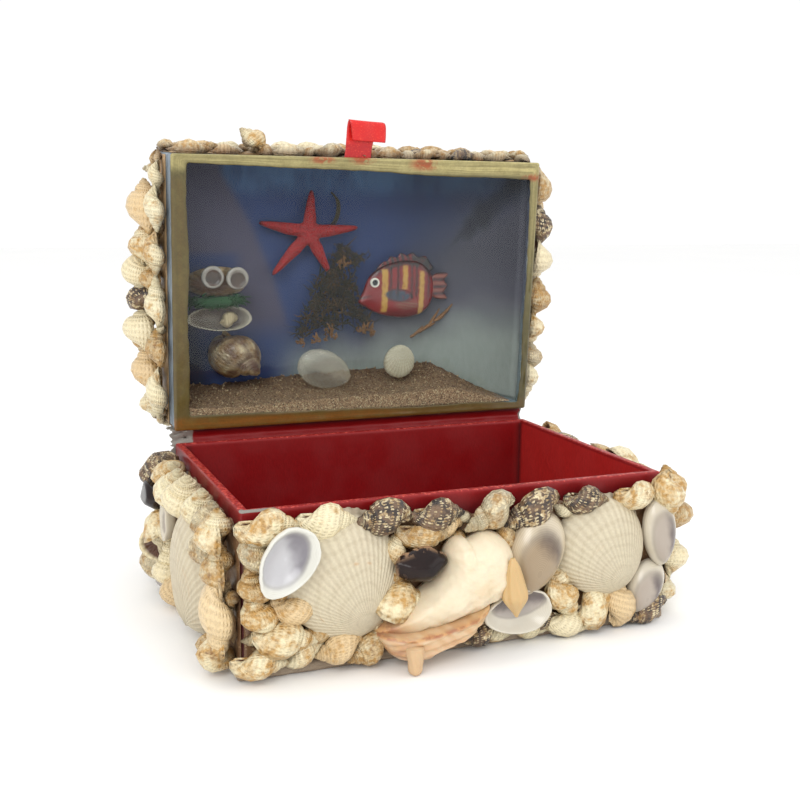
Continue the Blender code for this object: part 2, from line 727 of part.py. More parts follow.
def build_small_scene():
    card = flat_piece("scene_card", [rectangle(-71.6, 71.6, 3.4, 99.6)], 0.5 * MM, "blue_card")
    in_scene(card, level=0.55)
    build_sand()
    build_weed()
    build_starfish()
    build_fish()
    build_critter()
    oval_valve = mesh_piece("white_valve_oval", fan_mesh(22, 15, 3.5, ribs=6, steps=3), "white_shell")
    in_scene(oval_valve, -12.5, 18.6, 160, 17.5)
    round_valve = mesh_piece("white_valve_round", fan_mesh(14, 13.5, 3, ribs=6, steps=3), "white_shell")
    in_scene(round_valve, 20.7, 19.2, 100, 17.5)


clear_scene()
parts = new_collection("shell_box")
cutters = new_collection("cutters")
materials = {
    "grey_board": new_material("grey_board", (0.28, 0.24, 0.22), 0.85),
    "red_paper": new_material("red_paper", (0.42, 0.03, 0.03), 0.55),
    "cream_shell": new_material("cream_shell", (0.72, 0.6, 0.4), 0.5),
    "white_shell": new_material("white_shell", (0.78, 0.74, 0.66), 0.45),
    "dark_shell": new_material("dark_shell", (0.05, 0.025, 0.03), 0.15),
    "blue_grey_paint": new_material("blue_grey_paint", (0.16, 0.22, 0.27), 0.7),
    "clear_plastic": new_material("clear_plastic", (0.9, 0.93, 0.95), 0.1, 0.25),
    "olive_tape": new_material("olive_tape", (0.4, 0.36, 0.14), 0.4),
    "red_ribbon": new_material("red_ribbon", (0.7, 0.02, 0.02), 0.35),
    "blue_card": new_material("blue_card", (0.06, 0.12, 0.3), 0.7),
    "sand": new_material("sand", (0.3, 0.25, 0.19), 0.95),
    "starfish_red": new_material("starfish_red", (0.6, 0.05, 0.04), 0.6),
    "fish_red": new_material("fish_red", (0.45, 0.04, 0.04), 0.4),
    "white_plastic": new_material("white_plastic", (0.8, 0.8, 0.78), 0.2),
    "weed_brown": new_material("weed_brown", (0.08, 0.06, 0.04), 0.9),
    "brown_snail": new_material("brown_snail", (0.35, 0.24, 0.18), 0.4),
    "moss_green": new_material("moss_green", (0.03, 0.14, 0.05), 0.9),
}
lid_hinge = bpy.data.objects.new("lid_hinge", None)
parts.objects.link(lid_hinge)
lid_hinge.location = (0, AXIS_Y, AXIS_Z)
lid_hinge.rotation_euler = (-OPEN_ANGLE, 0, 0)
# The scene's own frame lies on the inside of the lid's roof: x to the right, y from the
# hinge edge to the front edge and z out through the window
scene_frame = wall_frame((0, EDGE_Y, CLOSED_Z + LID_HEIGHT - LID_ROOF), (1, 0, 0), (0, -1, 0))
build_base()
build_base_shells()
build_lid()
build_lid_shells()
build_small_scene()
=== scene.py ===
# Looks of a keepsake box covered with sea shells: its card, paper, tape and window, every
# shell glued to it, and the little sea scene inside the lid
import json
import math

import bpy
import numpy as np
from mathutils import Matrix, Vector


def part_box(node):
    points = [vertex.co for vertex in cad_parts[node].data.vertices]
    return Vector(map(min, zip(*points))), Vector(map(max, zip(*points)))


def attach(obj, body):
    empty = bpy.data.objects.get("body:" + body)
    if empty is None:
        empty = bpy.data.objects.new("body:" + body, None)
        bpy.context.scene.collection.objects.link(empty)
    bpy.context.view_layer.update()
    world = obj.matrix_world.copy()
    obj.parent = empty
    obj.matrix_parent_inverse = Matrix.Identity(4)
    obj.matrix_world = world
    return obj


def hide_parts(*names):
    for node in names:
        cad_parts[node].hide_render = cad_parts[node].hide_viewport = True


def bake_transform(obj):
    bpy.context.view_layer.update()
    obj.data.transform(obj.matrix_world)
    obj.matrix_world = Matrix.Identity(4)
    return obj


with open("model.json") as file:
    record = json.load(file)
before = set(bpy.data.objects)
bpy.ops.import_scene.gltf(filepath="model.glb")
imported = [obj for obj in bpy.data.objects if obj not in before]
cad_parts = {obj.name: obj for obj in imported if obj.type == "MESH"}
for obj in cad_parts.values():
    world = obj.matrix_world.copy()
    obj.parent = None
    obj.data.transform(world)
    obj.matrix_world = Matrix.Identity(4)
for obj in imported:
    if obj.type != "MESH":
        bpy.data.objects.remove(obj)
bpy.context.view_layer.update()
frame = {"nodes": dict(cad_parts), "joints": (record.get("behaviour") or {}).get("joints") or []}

mm = 0.001
still = np.eye(4)
fullTurn = 2 * np.pi
seeded = np.random.default_rng

# Places, all worked out from the frame

boardLow, boardHigh = (np.array(corner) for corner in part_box("bottom_board"))
trayLow, trayHigh = (np.array(corner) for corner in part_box("base_tray"))
hinge = frame["joints"][0]
hingePoint = np.array(hinge["pos_m"])
openAngle = math.radians(hinge["range_deg"][1])


# Four-by-four matrix of a move
def moved(x, y, z):
    matrix = np.eye(4)
    matrix[:3, 3] = (x, y, z)
    return matrix


# Four-by-four matrix of a turn about one axis
def turned(degrees, axis):
    angle = math.radians(degrees)
    first, second = [(1, 2), (2, 0), (0, 1)]["xyz".index(axis)]
    matrix = np.eye(4)
    matrix[first, first] = matrix[second, second] = math.cos(angle)
    matrix[second, first] = math.sin(angle)
    matrix[first, second] = -math.sin(angle)
    return matrix


# A move in millimetres
def at(x, up, level):
    return moved(x * mm, up * mm, level * mm)


# Points carried by a matrix
def carried(points, matrix):
    return points @ matrix[:3, :3].T + matrix[:3, 3]


# A wall's own frame: x along it, y up it and z outwards, from the middle of its foot
def wallFrame(foot, along, up):
    matrix = np.eye(4)
    matrix[:3] = np.stack([along, up, np.cross(along, up), foot], 1)
    return matrix


# The lid opens about the hinge: what is placed as in the closed box is carried by this
openLid = moved(*hingePoint) @ turned(-math.degrees(openAngle), "x") @ moved(*-hingePoint)


# Lowest and highest corner of a lid node as it lies in the closed box
def closedBox(node):
    mesh = frame["nodes"][node].data
    points = np.empty(3 * len(mesh.vertices))
    mesh.vertices.foreach_get("co", points)
    points = carried(points.reshape(-1, 3), np.linalg.inv(openLid))
    return points.min(0), points.max(0)


lidLow, lidHigh = closedBox("lid_tray")
lidMiddle = (lidLow[1] + lidHigh[1]) / 2
side = trayHigh[0]
paperStep = 0.7 * mm  # hinge paper and its gap, between the back wall and its shells
baseFront = wallFrame((0, trayLow[1], 0), (1, 0, 0), (0, 0, 1))
baseLeft = wallFrame((-side, 0, 0), (0, -1, 0), (0, 0, 1))
baseRight = wallFrame((side, 0, 0), (0, 1, 0), (0, 0, 1))
baseBack = wallFrame((0, trayHigh[1] + paperStep, 0), (-1, 0, 0), (0, 0, 1))
lidLeft = openLid @ wallFrame((-side, lidMiddle, lidLow[2]), (0, -1, 0), (0, 0, 1))
lidRight = openLid @ wallFrame((side, lidMiddle, lidLow[2]), (0, 1, 0), (0, 0, 1))
lidFront = openLid @ wallFrame((0, lidLow[1], lidLow[2]), (1, 0, 0), (0, 0, 1))
lidBack = openLid @ wallFrame((0, lidHigh[1], lidLow[2]), (-1, 0, 0), (0, 0, 1))
lidTop = openLid @ wallFrame((0, lidMiddle, lidHigh[2]), (1, 0, 0), (0, 1, 0))
# The scene's frame lies on the inside of the lid's roof: x right, y from the hinge edge to
# the front edge, z out through the window
roofThick = 2 * mm
inScene = openLid @ wallFrame((0, lidHigh[1], lidHigh[2] - roofThick), (1, 0, 0), (0, -1, 0))
rimLevel = (lidHigh[2] - lidLow[2] - roofThick) / mm
lidLength = (lidHigh[1] - lidLow[1]) / mm

# Meshes


# Vectors cut to a length of 1
def unit(vectors):
    return vectors / np.linalg.norm(vectors, axis=-1, keepdims=True)


# Points from three parts that stretch to one size
def joined(x, y, z):
    return np.stack(np.broadcast_arrays(x, y, z), -1)


# A flat outline as a ring of points at a level
def ringAt(outline, level):
    return np.c_[outline, np.full(len(outline), level)]


# Even angles round a circle
def circle(count):
    return fullTurn * np.arange(count) / count


# 0 to 1 with a soft start and end
def eased(share):
    share = np.clip(share, 0, 1)
    return share * share * (3 - 2 * share)


# Uneven values between about -1 and 1: sines of random direction and phase added up
def unevenness(points, size, seed, waves=7):
    points = np.stack(points, -1) if isinstance(points, tuple) else points
    spread = seeded(seed)
    way = spread.normal(size=(waves, points.shape[-1]))
    way *= (spread.uniform(0.6, 1.7, waves) / np.linalg.norm(way, axis=1) * fullTurn / size)[:, None]
    return np.sin(points @ way.T + spread.uniform(0, fullTurn, waves)).mean(-1) * 1.7


# A smooth line through a few points, as evenly spread samples: Catmull-Rom pieces
def smoothLine(points, samples, closed=False):
    points = np.array(points, float)
    count = len(points)
    last = count if closed else count - 1
    place = np.linspace(0, last, samples, endpoint=not closed)
    start = np.minimum(place.astype(int), last - 1)
    share = (place - start)[:, None]
    corners = [start + step for step in (-1, 0, 1, 2)]
    corners = [corner % count if closed else np.clip(corner, 0, last) for corner in corners]
    a, b, c, d = (points[corner] for corner in corners)
    bent = 2 * a - 5 * b + 4 * c - d
    return 0.5 * (2 * b + (c - a) * share + bent * share**2 + (3 * b - a - 3 * c + d) * share**3)


# A shape is a grid of points (rows, columns, 3) joined by four-sided faces: each row is a
# ring, and a pole fans the first or last ring onto one point. Two poles close it.
def gridShape(points, startPole=None, endPole=None, rowMarks=None):
    rows, columns = points.shape[:2]
    row, column = np.meshgrid(np.arange(rows - 1), np.arange(columns), indexing="ij")
    row, column = row.ravel(), column.ravel()
    nextColumn = (column + 1) % columns
    quads = np.stack([row * columns + column, row * columns + nextColumn], 1)
    quads = np.hstack([quads, quads[:, ::-1] + columns])
    marks = np.linspace(0, 1, rows) if rowMarks is None else np.asarray(rowMarks, float)
    low, high = column / columns, (column + 1) / columns
    here, there = marks[row], marks[row + 1]
    quadMap = np.stack([low, here, high, here, high, there, low, there], 1).reshape(-1, 4, 2)
    places = points.reshape(-1, 3)
    fans, fanMap = [], []
    for pole, first, flip in ((startPole, 0, True), (endPole, (rows - 1) * columns, False)):
        if pole is None:
            continue
        ring = np.arange(columns)
        after = (ring + 1) % columns
        tip = np.full(columns, len(places))
        places = np.vstack([places, pole])
        mark = marks[0] if flip else marks[-1]
        corners = np.stack([first + ring, first + after, tip], 1)
        cornerMap = np.stack([ring, ring + 1, ring + 0.5], 1) / columns
        cornerMap = np.stack([cornerMap, np.full((columns, 3), mark)], 2)
        fans.append(corners[:, ::-1] if flip else corners)
        fanMap.append(cornerMap[:, ::-1] if flip else cornerMap)
    shape = {"points": places, "quads": quads, "quadMap": quadMap}
    shape["fans"] = np.vstack(fans) if fans else np.zeros((0, 3), int)
    shape["fanMap"] = np.vstack(fanMap) if fans else np.zeros((0, 3, 2))
    return facingOut(shape) if fans else shape


# Volume inside a closed shape, from the cones between its faces and the origin
def volumeOf(shape):
    points = shape["points"] - shape["points"].mean(0)
    quads = shape["quads"]
    faces = np.vstack([shape["fans"], quads[:, :3], quads[:, [0, 2, 3]]])
    a, b, c = (points[faces[:, corner]] for corner in range(3))
    return (a * np.cross(b, c)).sum() / 6


# Turns every face round if it should be
def flipped(shape, wanted):
    if wanted:
        for faces in ("quads", "fans", "quadMap", "fanMap"):
            shape[faces] = shape[faces][:, ::-1]
    return shape


# Turns a closed shape's faces so that they point outwards
def facingOut(shape):
    return flipped(shape, volumeOf(shape) < 0)


# A closed shape from a grid whose rows are rings, with a point at the middle of each end
def ringShape(points, hollow=0):
    shape = gridShape(points, points[0].mean(0), points[-1].mean(0))
    shape["hollow"] = np.full(len(shape["points"]), hollow)
    return shape


# A closed sheet between two grids of points of one size: each row's ring runs along the
# upper grid and back along the lower one, and strips close the first and last row
def slabShape(over, under):
    rows, columns = over.shape[:2]
    shape = gridShape(np.concatenate([over, under[:, ::-1]], 1))
    first = np.arange(columns - 1)
    strip = np.stack([first, 2 * columns - 1 - first, 2 * columns - 2 - first, first + 1], 1)
    closing = np.vstack([strip, strip[:, ::-1] + (rows - 1) * 2 * columns])
    share = closing % (2 * columns) / (2 * columns)
    level = closing // (2 * columns) / (rows - 1)
    shape["quads"] = np.vstack([shape["quads"], closing])
    shape["quadMap"] = np.vstack([shape["quadMap"], np.stack([share, level], 2)])
    return facingOut(shape)


# Along, up and out of a shape's points, in millimetres
def placesOf(shape):
    return (shape["points"] / mm).T


# A shape moved by a matrix, with the values that its material reads at each point: its own
# unmoved place shifted by a seed, its tone, and how far it stands off what it is glued to
def placed(shape, matrix=still, tone=(0, 0, 0), seed=0, lift=None):
    own = shape["points"] + seeded(seed).uniform(-1, 1, 3)
    high = carried(shape["points"], matrix)
    flipped(shape, np.linalg.det(matrix[:3, :3]) < 0)
    marks = {"own": own, "tone": np.tile(np.array(tone, float), (len(own), 1))}
    marks["lift"] = high[:, 2] / (8 * mm) if lift is None else lift + np.zeros(len(own))
    marks["hollow"] = shape.get("hollow", np.zeros(len(own)))
    marks["shade"] = shape.get("shade", np.zeros(len(own)))
    return {**shape, "points": high, "marks": marks}


# A new object in the scene
def addObject(name, data):
    made = bpy.data.objects.new(name, data)
    bpy.context.scene.collection.objects.link(made)
    return made


# A seed from a name: its letters' codes added up
def seedOf(name):
    return sum(map(ord, name))


# One piece of the box from a list of placed shapes, carried into a frame
def makePiece(name, shapes, matrix, material, body, stands=()):
    starts = np.cumsum([0] + [len(shape["points"]) for shape in shapes])
    quads, fans = (
        np.vstack([shape[faces] + start for shape, start in zip(shapes, starts)])
        for faces in ("quads", "fans")
    )
    points = carried(np.vstack([shape["points"] for shape in shapes]), matrix)
    mesh = bpy.data.meshes.new(name)
    mesh.vertices.add(len(points))
    mesh.vertices.foreach_set("co", points.astype(np.float32).ravel())
    corners = np.concatenate([quads.ravel(), fans.ravel()])
    sizes = np.concatenate([np.full(len(quads), 4), np.full(len(fans), 3)])
    mesh.loops.add(len(corners))
    mesh.loops.foreach_set("vertex_index", corners.astype(np.int32))
    mesh.polygons.add(len(sizes))
    mesh.polygons.foreach_set("loop_start", np.concatenate([[0], np.cumsum(sizes)[:-1]]).astype(np.int32))
    mesh.update(calc_edges=True)
    faceMaps = [shape[part].reshape(-1, 2) for part in ("quadMap", "fanMap") for shape in shapes]
    uv = np.vstack(faceMaps).astype(np.float32)
    mesh.uv_layers.new(name="surface").data.foreach_set("uv", uv.ravel())
    for mark in shapes[0]["marks"]:
        values = np.concatenate([shape["marks"][mark] for shape in shapes]).astype(np.float32)
        kind = "FLOAT_VECTOR" if values.ndim == 2 else "FLOAT"
        attribute = mesh.attributes.new(mark, kind, "POINT")
        attribute.data.foreach_set("vector" if values.ndim == 2 else "value", values.ravel())
    mesh.shade_smooth()
    piece = addObject(name, mesh)
    mesh.materials.append(material)
    if body:
        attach(piece, body)
    if stands:
        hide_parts(*stands)
    return piece


# The look of one CAD node
def makeLook(node, shapes, matrix, material, body):
    shapes = shapes if isinstance(shapes, list) else [shapes]
    return makePiece(node + "_look", shapes, matrix, material, body, [node])


# The same for a node of the scene in the lid
def sceneLook(node, shapes, material):
    return makeLook(node, shapes, inScene, material, "lid")


# Shader nodes

# What is being made: the tree that nodes are added to, its material, its shader's inputs, its
# own place and its colour so far
opened = {}


# Colour given as it looks on a screen, 0 to 1, as the linear colour that shaders use
def tint(red, green, blue):
    shown = np.array((red, green, blue))
    linear = np.where(shown <= 0.04045, shown / 12.92, ((shown + 0.055) / 1.055) ** 2.4)
    return (*(float(value) for value in linear), 1)


# Links a socket to an input, or sets the input to a value
def feed(value, socket):
    if isinstance(value, bpy.types.NodeSocket):
        opened["tree"].links.new(value, socket)
    else:
        socket.default_value = value


# A node with its settings and inputs, each a socket or a value
def addNode(kind, inputs=None, **settings):
    node = opened["tree"].nodes.new("ShaderNode" + kind)
    for name, value in settings.items():
        setattr(node, name, value)
    for name, value in (inputs or {}).items():
        feed(value, node.inputs[name])
    return node


def calculate(operation, *values):
    return addNode("Math", dict(enumerate(values)), operation=operation).outputs[0]


def times(first, second):
    return calculate("MULTIPLY", first, second)


def plus(first, second):
    return calculate("ADD", first, second)


def minus(first, second):
    return calculate("SUBTRACT", first, second)


# One colour turning into another as share grows; a colour is a socket or how it looks
def mixed(share, first, second, blend="MIX"):
    colours = [tint(*colour) if isinstance(colour, tuple) else colour for colour in (first, second)]
    inputs = {0: share, 6: colours[0], 7: colours[1]}
    return addNode("Mix", inputs, data_type="RGBA", blend_type=blend).outputs[2]


# Two colours clouded into one another
def clouded(scale, detail, first, second):
    return mixed(noise(scale, detail), first, second)


# Starts the opened material's colour
def ground(colour):
    opened["colour"] = colour


# Lays a paint over the opened material's colour where a mask shows, no stronger than amount
def paint(mask, colour, amount=None, blend="MIX"):
    share = mask if amount is None else times(mask, amount)
    ground(mixed(share, opened["colour"], colour, blend))


# Darkens the opened material's colour by another where a mask shows
def darken(mask, colour):
    paint(mask, colour, blend="MULTIPLY")


# Patterns are read at the opened material's own place, unless another is given
def noise(scale, detail=2, place=None, rough=0.5):
    inputs = {"Vector": place or opened["own"], "Scale": scale, "Detail": detail, "Roughness": rough}
    return addNode("TexNoise", inputs).outputs[0]


def cellsOf(scale):
    return addNode("TexVoronoi", {"Vector": opened["own"], "Scale": scale}).outputs


# A value spread from one range to another with soft ends
def spreadOut(value, low, high, toLow=0, toHigh=1):
    inputs = {"Value": value, "From Min": low, "From Max": high, "To Min": toLow, "To Max": toHigh}
    return addNode("MapRange", inputs, interpolation_type="SMOOTHSTEP").outputs[0]


# What the mesh says at each point under a name: a place and a tone have three parts
def mark(name):
    output = "Vector" if name in ("own", "tone") else "Fac"
    return addNode("Attribute", attribute_name=name).outputs[output]


def parts(vector):
    return addNode("SeparateXYZ", {0: vector}).outputs


def surfaceMap():
    return parts(addNode("UVMap", uv_map="surface").outputs[0])


def stretchedPlace(x, y, z):
    return addNode("Mapping", {0: opened["own"], 3: (x, y, z)}).outputs[0]


def objectPlace():
    return addNode("TexCoord").outputs["Object"]


# A node group: its inputs are numbers with a default value, or vectors where there is none
def newGroup(name, inputs, outputs):
    tree = opened["tree"] = bpy.data.node_groups.new(name, "ShaderNodeTree")
    for label, value in inputs.items():
        kind = "NodeSocketVector" if value is None else "NodeSocketFloat"
        socket = tree.interface.new_socket(label, in_out="INPUT", socket_type=kind)
        if value is not None:
            socket.default_value = value
    for label, kind in outputs.items():
        tree.interface.new_socket(label, in_out="OUTPUT", socket_type="NodeSocket" + kind)
    return tree, tree.nodes.new("NodeGroupInput").outputs, tree.nodes.new("NodeGroupOutput").inputs


def useGroup(group, **inputs):
    return addNode("Group", inputs, node_tree=group).outputs


# Patches of a second colour: noise cut softly at a level, more of it as Amount grows
def makePatches():
    inputs = {"Place": None, "Scale": 200, "Detail": 3, "Amount": 0.5, "Softness": 0.08}
    tree, given, made = newGroup("patches", inputs, {"Mask": "Float"})
    value = noise(given["Scale"], given["Detail"], given["Place"], 0.6)
    level = spreadOut(given["Amount"], 0, 1, 0.75, 0.25)
    low, high = minus(level, given["Softness"]), plus(level, given["Softness"])
    feed(spreadOut(value, low, high), made["Mask"])
    return tree


# Fine unevenness of a surface, as a height and as a small shift of its colour
def makeGrain():
    inputs = {"Place": None, "Scale": 900, "Contrast": 0.2}
    tree, given, made = newGroup("grain", inputs, {"Height": "Float", "Shade": "Color"})
    value = noise(given["Scale"], 3, given["Place"], 0.65)
    feed(value, made["Height"])
    less, more = minus(1, given["Contrast"]), plus(1, given["Contrast"])
    shade = spreadOut(value, 0.25, 0.75, less, more)
    grey = addNode("CombineColor", {0: shade, 1: shade, 2: shade}).outputs[0]
    feed(grey, made["Shade"])
    return tree


# Beads in rows over a wound shell: ribs across each turn crossed by cords along it
def makeBeads():
    inputs = {"Along": 0, "Across": 0, "Ribs": 14, "Cords": 6}
    tree, given, made = newGroup("beads", inputs, {"Height": "Float", "Rows": "Float"})
    pairs = (("Along", "Ribs"), ("Across", "Cords"))
    turns = (times(times(given[way], given[count]), fullTurn) for way, count in pairs)
    ribs, cords = (calculate("MULTIPLY_ADD", calculate("COSINE", turn), 0.5, 0.5) for turn in turns)
    feed(times(ribs, cords), made["Height"])
    feed(cords, made["Rows"])
    return tree


# Worn places: strong near an edge marked 1, and broken up by noise
def makeWear():
    inputs = {"Edge": 0, "Place": None, "Scale": 300, "Amount": 0.5}
    tree, given, made = newGroup("edgeWear", inputs, {"Mask": "Float"})
    broken = noise(given["Scale"], 4, given["Place"], 0.7)
    total = plus(times(given["Edge"], 0.6), broken)
    level = spreadOut(given["Amount"], 0, 1, 1.35, 0.6)
    feed(spreadOut(total, level, plus(level, 0.12)), made["Mask"])
    return tree


patches, grain, beads, edgeWear = makePatches(), makeGrain(), makeBeads(), makeWear()


def patchy(scale, amount, softness, place=None):
    place = place or opened["own"]
    return useGroup(patches, Place=place, Scale=scale, Amount=amount, Softness=softness)["Mask"]


def wornAway(edge, scale, amount):
    return useGroup(edgeWear, Edge=edge, Place=opened["own"], Scale=scale, Amount=amount)["Mask"]


# Lays fine grain over the opened material's colour and gives the grain's height
def grained(scale, contrast, place=None):
    fine = useGroup(grain, Place=place or opened["own"], Scale=scale, Contrast=contrast)
    darken(1, fine["Shade"])
    return fine["Height"]


# Brown glue and painted shade round the foot of what is glued, darkest low down between the shells: its mark
# of height, from low to high
def glueFoot(low, high, amount):
    darken(spreadOut(mark("lift"), low, high, amount, 0), creams["glue"])


# A new material with fixed values on its shader
def newMaterial(name, **values):
    material = bpy.data.materials.new(name)
    material.use_nodes = True
    shader = material.node_tree.nodes["Principled BSDF"].inputs
    for label, value in values.items():
        shader[label.replace("_", " ")].default_value = value
    opened.update(tree=material.node_tree, material=material, shader=shader)
    opened["own"] = mark("own")


# Gives the opened material its colour, roughness and bump, and returns it
def finished(height=None, depth=0.0002, strength=0.5, roughness=None):
    feed(opened["colour"], opened["shader"]["Base Color"])
    if roughness is not None:
        feed(roughness, opened["shader"]["Roughness"])
    if height is not None:
        inputs = {"Height": height, "Distance": depth, "Strength": strength}
        feed(addNode("Bump", inputs).outputs[0], opened["shader"]["Normal"])
    return opened["material"]


# Shell finishes

creams = {
    "cream": (0.9, 0.84, 0.67),
    "pale": (0.9, 0.86, 0.74),
    "gold": (0.73, 0.55, 0.27),
    "brown": (0.5, 0.34, 0.17),
    "tan": (0.84, 0.71, 0.52),
    "dark": (0.17, 0.13, 0.11),
    "umber": (0.45, 0.35, 0.26),
    "dots": (0.87, 0.81, 0.66),
    "ochre": (0.62, 0.5, 0.33),
    "seam": (0.58, 0.43, 0.27),
    "hollow": (0.34, 0.2, 0.12),
    # brown of the glue, and of the painted shade at the foot of each shell
    "glue": (0.42, 0.29, 0.18),
}


# Small snails: cream clouded with gold, browner specks in the gold, and faint seams between
# the turns. tone holds how gold, how dark and how tan each shell is; a dark one is brown
# with rows of cream beads.
def makeSnailFinish():
    newMaterial("snail_shell", Roughness=0.4, Coat_Weight=0.15, Coat_Roughness=0.3)
    tone = parts(mark("tone"))
    across, along = surfaceMap()[:2]  # round the section, and along the turns from 0 to 1
    rows = useGroup(beads, Along=along, Across=across, Ribs=128, Cords=17)
    wide = patchy(190, tone[0], 0.1)
    small = patchy(480, 0.5, 0.14)
    ground(clouded(110, 2, creams["cream"], creams["pale"]))
    paint(tone[2], creams["tan"], 0.85)
    clouds = times(wide, spreadOut(small, 0, 1, 0.5, 0.95))
    paint(clouds, creams["gold"])
    specks = times(patchy(400, 0.3, 0.1), wide)
    paint(specks, creams["brown"], 0.8)
    uneven = times(noise(620, 3), 3)
    uneven = plus(uneven, times(noise(230, 2), 1.8))
    dots = spreadOut(plus(times(rows["Height"], 0.8), uneven), 2.58, 2.95)
    beneath = mixed(spreadOut(noise(300, 3), 0.35, 0.65), creams["dark"], creams["umber"])
    dots = mixed(dots, beneath, mixed(small, creams["dots"], creams["ochre"]))
    paint(tone[1], dots)
    # the seam between turns sits where the section faces along the axis
    seam = calculate("ABSOLUTE", minus(across, 0.27))
    paint(spreadOut(seam, 0, 0.05, 0.45, 0), creams["seam"])
    # glue and painted shade round the shell's foot
    glueFoot(0.1, 0.6, 0.78)
    paint(mark("hollow"), creams["hollow"])
    fine = grained(1500, 0.12)
    rough = spreadOut(wide, 0, 1, 0.34, 0.5)
    height = plus(rows["Height"], times(fine, 0.5))
    return finished(height, 0.00045, 0.75, rough)


# Ribbed white cockles: beads along each rib, faint pink and green tints, a rusty growth line, and painted
# shade in the grooves between the ribs
def makeCockleFinish():
    newMaterial("cockle_shell", Roughness=0.5)
    tone = parts(mark("tone"))
    around, outward = surfaceMap()[:2]
    rows = useGroup(beads, Along=outward, Across=around, Ribs=26, Cords=tone[1])
    ground(clouded(90, 2, (0.81, 0.77, 0.67), (0.78, 0.73, 0.63)))
    paint(patchy(60, 0.4, 0.2), (0.81, 0.78, 0.66), 0.3)  # greenish
    wavering = times(noise(150, 2), 0.06)
    ring = calculate("ABSOLUTE", minus(plus(outward, wavering), 0.62))
    ring = spreadOut(ring, 0, 0.02, 0.8, 0)
    broken = patchy(130, 0.42, 0.08)
    rust = times(times(ring, broken), tone[0])
    paint(rust, (0.74, 0.55, 0.34))
    # painted shade in the grooves between the ribs
    grooveShade = times(minus(1, rows["Rows"]), 0.2)
    darken(grooveShade, (0.66, 0.58, 0.48))
    grown = plus(outward, times(noise(60, 2), 0.3))
    grown = calculate("SINE", times(grown, 8 * fullTurn))
    darken(spreadOut(grown, 0.3, 1, 0, 0.12), (0.72, 0.66, 0.56))
    # glue and painted shade round the shell's foot
    glueFoot(0.05, 0.5, 0.55)
    fine = grained(1300, 0.07)
    beaded = plus(times(rows["Height"], 0.45), rows["Rows"])
    height = plus(beaded, times(fine, 0.25))
    return finished(height, 0.0003, 0.45)


# Smooth glossy valves: a cream rim, a paler or darker hollow and a grey ring where they meet.
# tone holds how violet the hollow is and how strongly the shade mark darkens it; on the larger shells that
# mark is painted shade on one side of the hollow
def makeValveFinish():
    newMaterial("glossy_valve", Roughness=0.26, Coat_Weight=0.3, Coat_Roughness=0.12)
    tone = parts(mark("tone"))
    warped = calculate("MULTIPLY_ADD", noise(170, 2), 0.3, -0.15)
    hollow = plus(mark("hollow"), warped)
    cloudy = noise(140, 1)
    rim = mixed(cloudy, (0.84, 0.8, 0.71), (0.76, 0.69, 0.58))
    rim = mixed(tone[0], rim, mixed(cloudy, (0.89, 0.89, 0.86), (0.84, 0.83, 0.78)))
    inner = mixed(tone[0], (0.62, 0.54, 0.43), (0.76, 0.755, 0.765))
    dark = mixed(tone[0], (0.36, 0.29, 0.24), (0.45, 0.43, 0.46))
    # the hollow darker where the shade mark lies, broken by clouds: on the larger shells a painted shade
    clouds = calculate("MULTIPLY_ADD", noise(160, 2), 0.8, -0.4)
    shade = spreadOut(plus(mark("shade"), clouds), 0.25, 0.9)
    inner = mixed(times(shade, tone[1]), inner, dark)
    ground(mixed(spreadOut(hollow, 0.15, 0.9), rim, inner))
    ring = calculate("ABSOLUTE", minus(hollow, 0.55))
    ring = spreadOut(ring, 0, 0.28, 0.3, 0)
    darken(ring, (0.62, 0.6, 0.6))
    # glue and painted shade round the shell's foot
    glueFoot(0.05, 0.4, 0.5)
    rings = times(surfaceMap()[1], 28)
    rings = calculate("SINE", times(rings, fullTurn))
    lines = spreadOut(rings, -1, 1, 0, 0.14)
    darken(lines, (0.55, 0.5, 0.45))
    height = plus(times(rings, 0.12), noise(500, 3))
    return finished(height, 0.00012, 0.35)


# Dark snail, nearly black violet under a wet gloss, with chalky chips
def makeDarkFinish():
    newMaterial("dark_snail", Roughness=0.2, Specular_IOR_Level=0.3)
    ground(clouded(160, 3, (0.03, 0.02, 0.025), (0.15, 0.075, 0.06)))
    chips = patchy(380, 0.5, 0.05)
    low = spreadOut(mark("lift"), 0.7, 1.25, 1, 0)
    chips = times(chips, low)
    paint(chips, (0.64, 0.51, 0.39))
    rough = spreadOut(chips, 0, 1, 0.2, 0.6)
    return finished(noise(260, 3), 0.0006, 0.4, rough)


# Conch: smooth ivory, warmer near its ends; tone reddens a place, and paints in red-brown the shade under the
# body along the lip's upper edge; hollow marks the lip
def makeConchFinish():
    newMaterial(
        "conch_shell", Roughness=0.45, Coat_Weight=0.08, Coat_Roughness=0.3,
        Subsurface_Weight=0.08, Subsurface_Scale=0.003,
    )
    tone = parts(mark("tone"))
    lip = mark("hollow")
    ivory = clouded(60, 2, (0.9, 0.85, 0.75), (0.86, 0.79, 0.66))
    peach = clouded(110, 2, (0.82, 0.69, 0.53), (0.74, 0.57, 0.41))
    ground(mixed(lip, ivory, peach))
    rusty = mixed(spreadOut(noise(350, 3), 0.4, 0.6), (0.6, 0.33, 0.21), (0.8, 0.6, 0.38))
    # rusty red places, and the red-brown painted shade along the lip's upper edge
    paint(tone[0], rusty)
    paint(tone[1], (0.78, 0.65, 0.44))
    wisps = stretchedPlace(1, 3, 1)
    paint(patchy(70, 0.3, 0.12, place=wisps), (0.82, 0.7, 0.53), 0.4)  # wisps
    return finished(noise(300, 5), 0.0007, 0.5)


print("shell finishes")
snailFinish, cockleFinish, valveFinish = makeSnailFinish(), makeCockleFinish(), makeValveFinish()
darkFinish, conchFinish = makeDarkFinish(), makeConchFinish()

# Shells

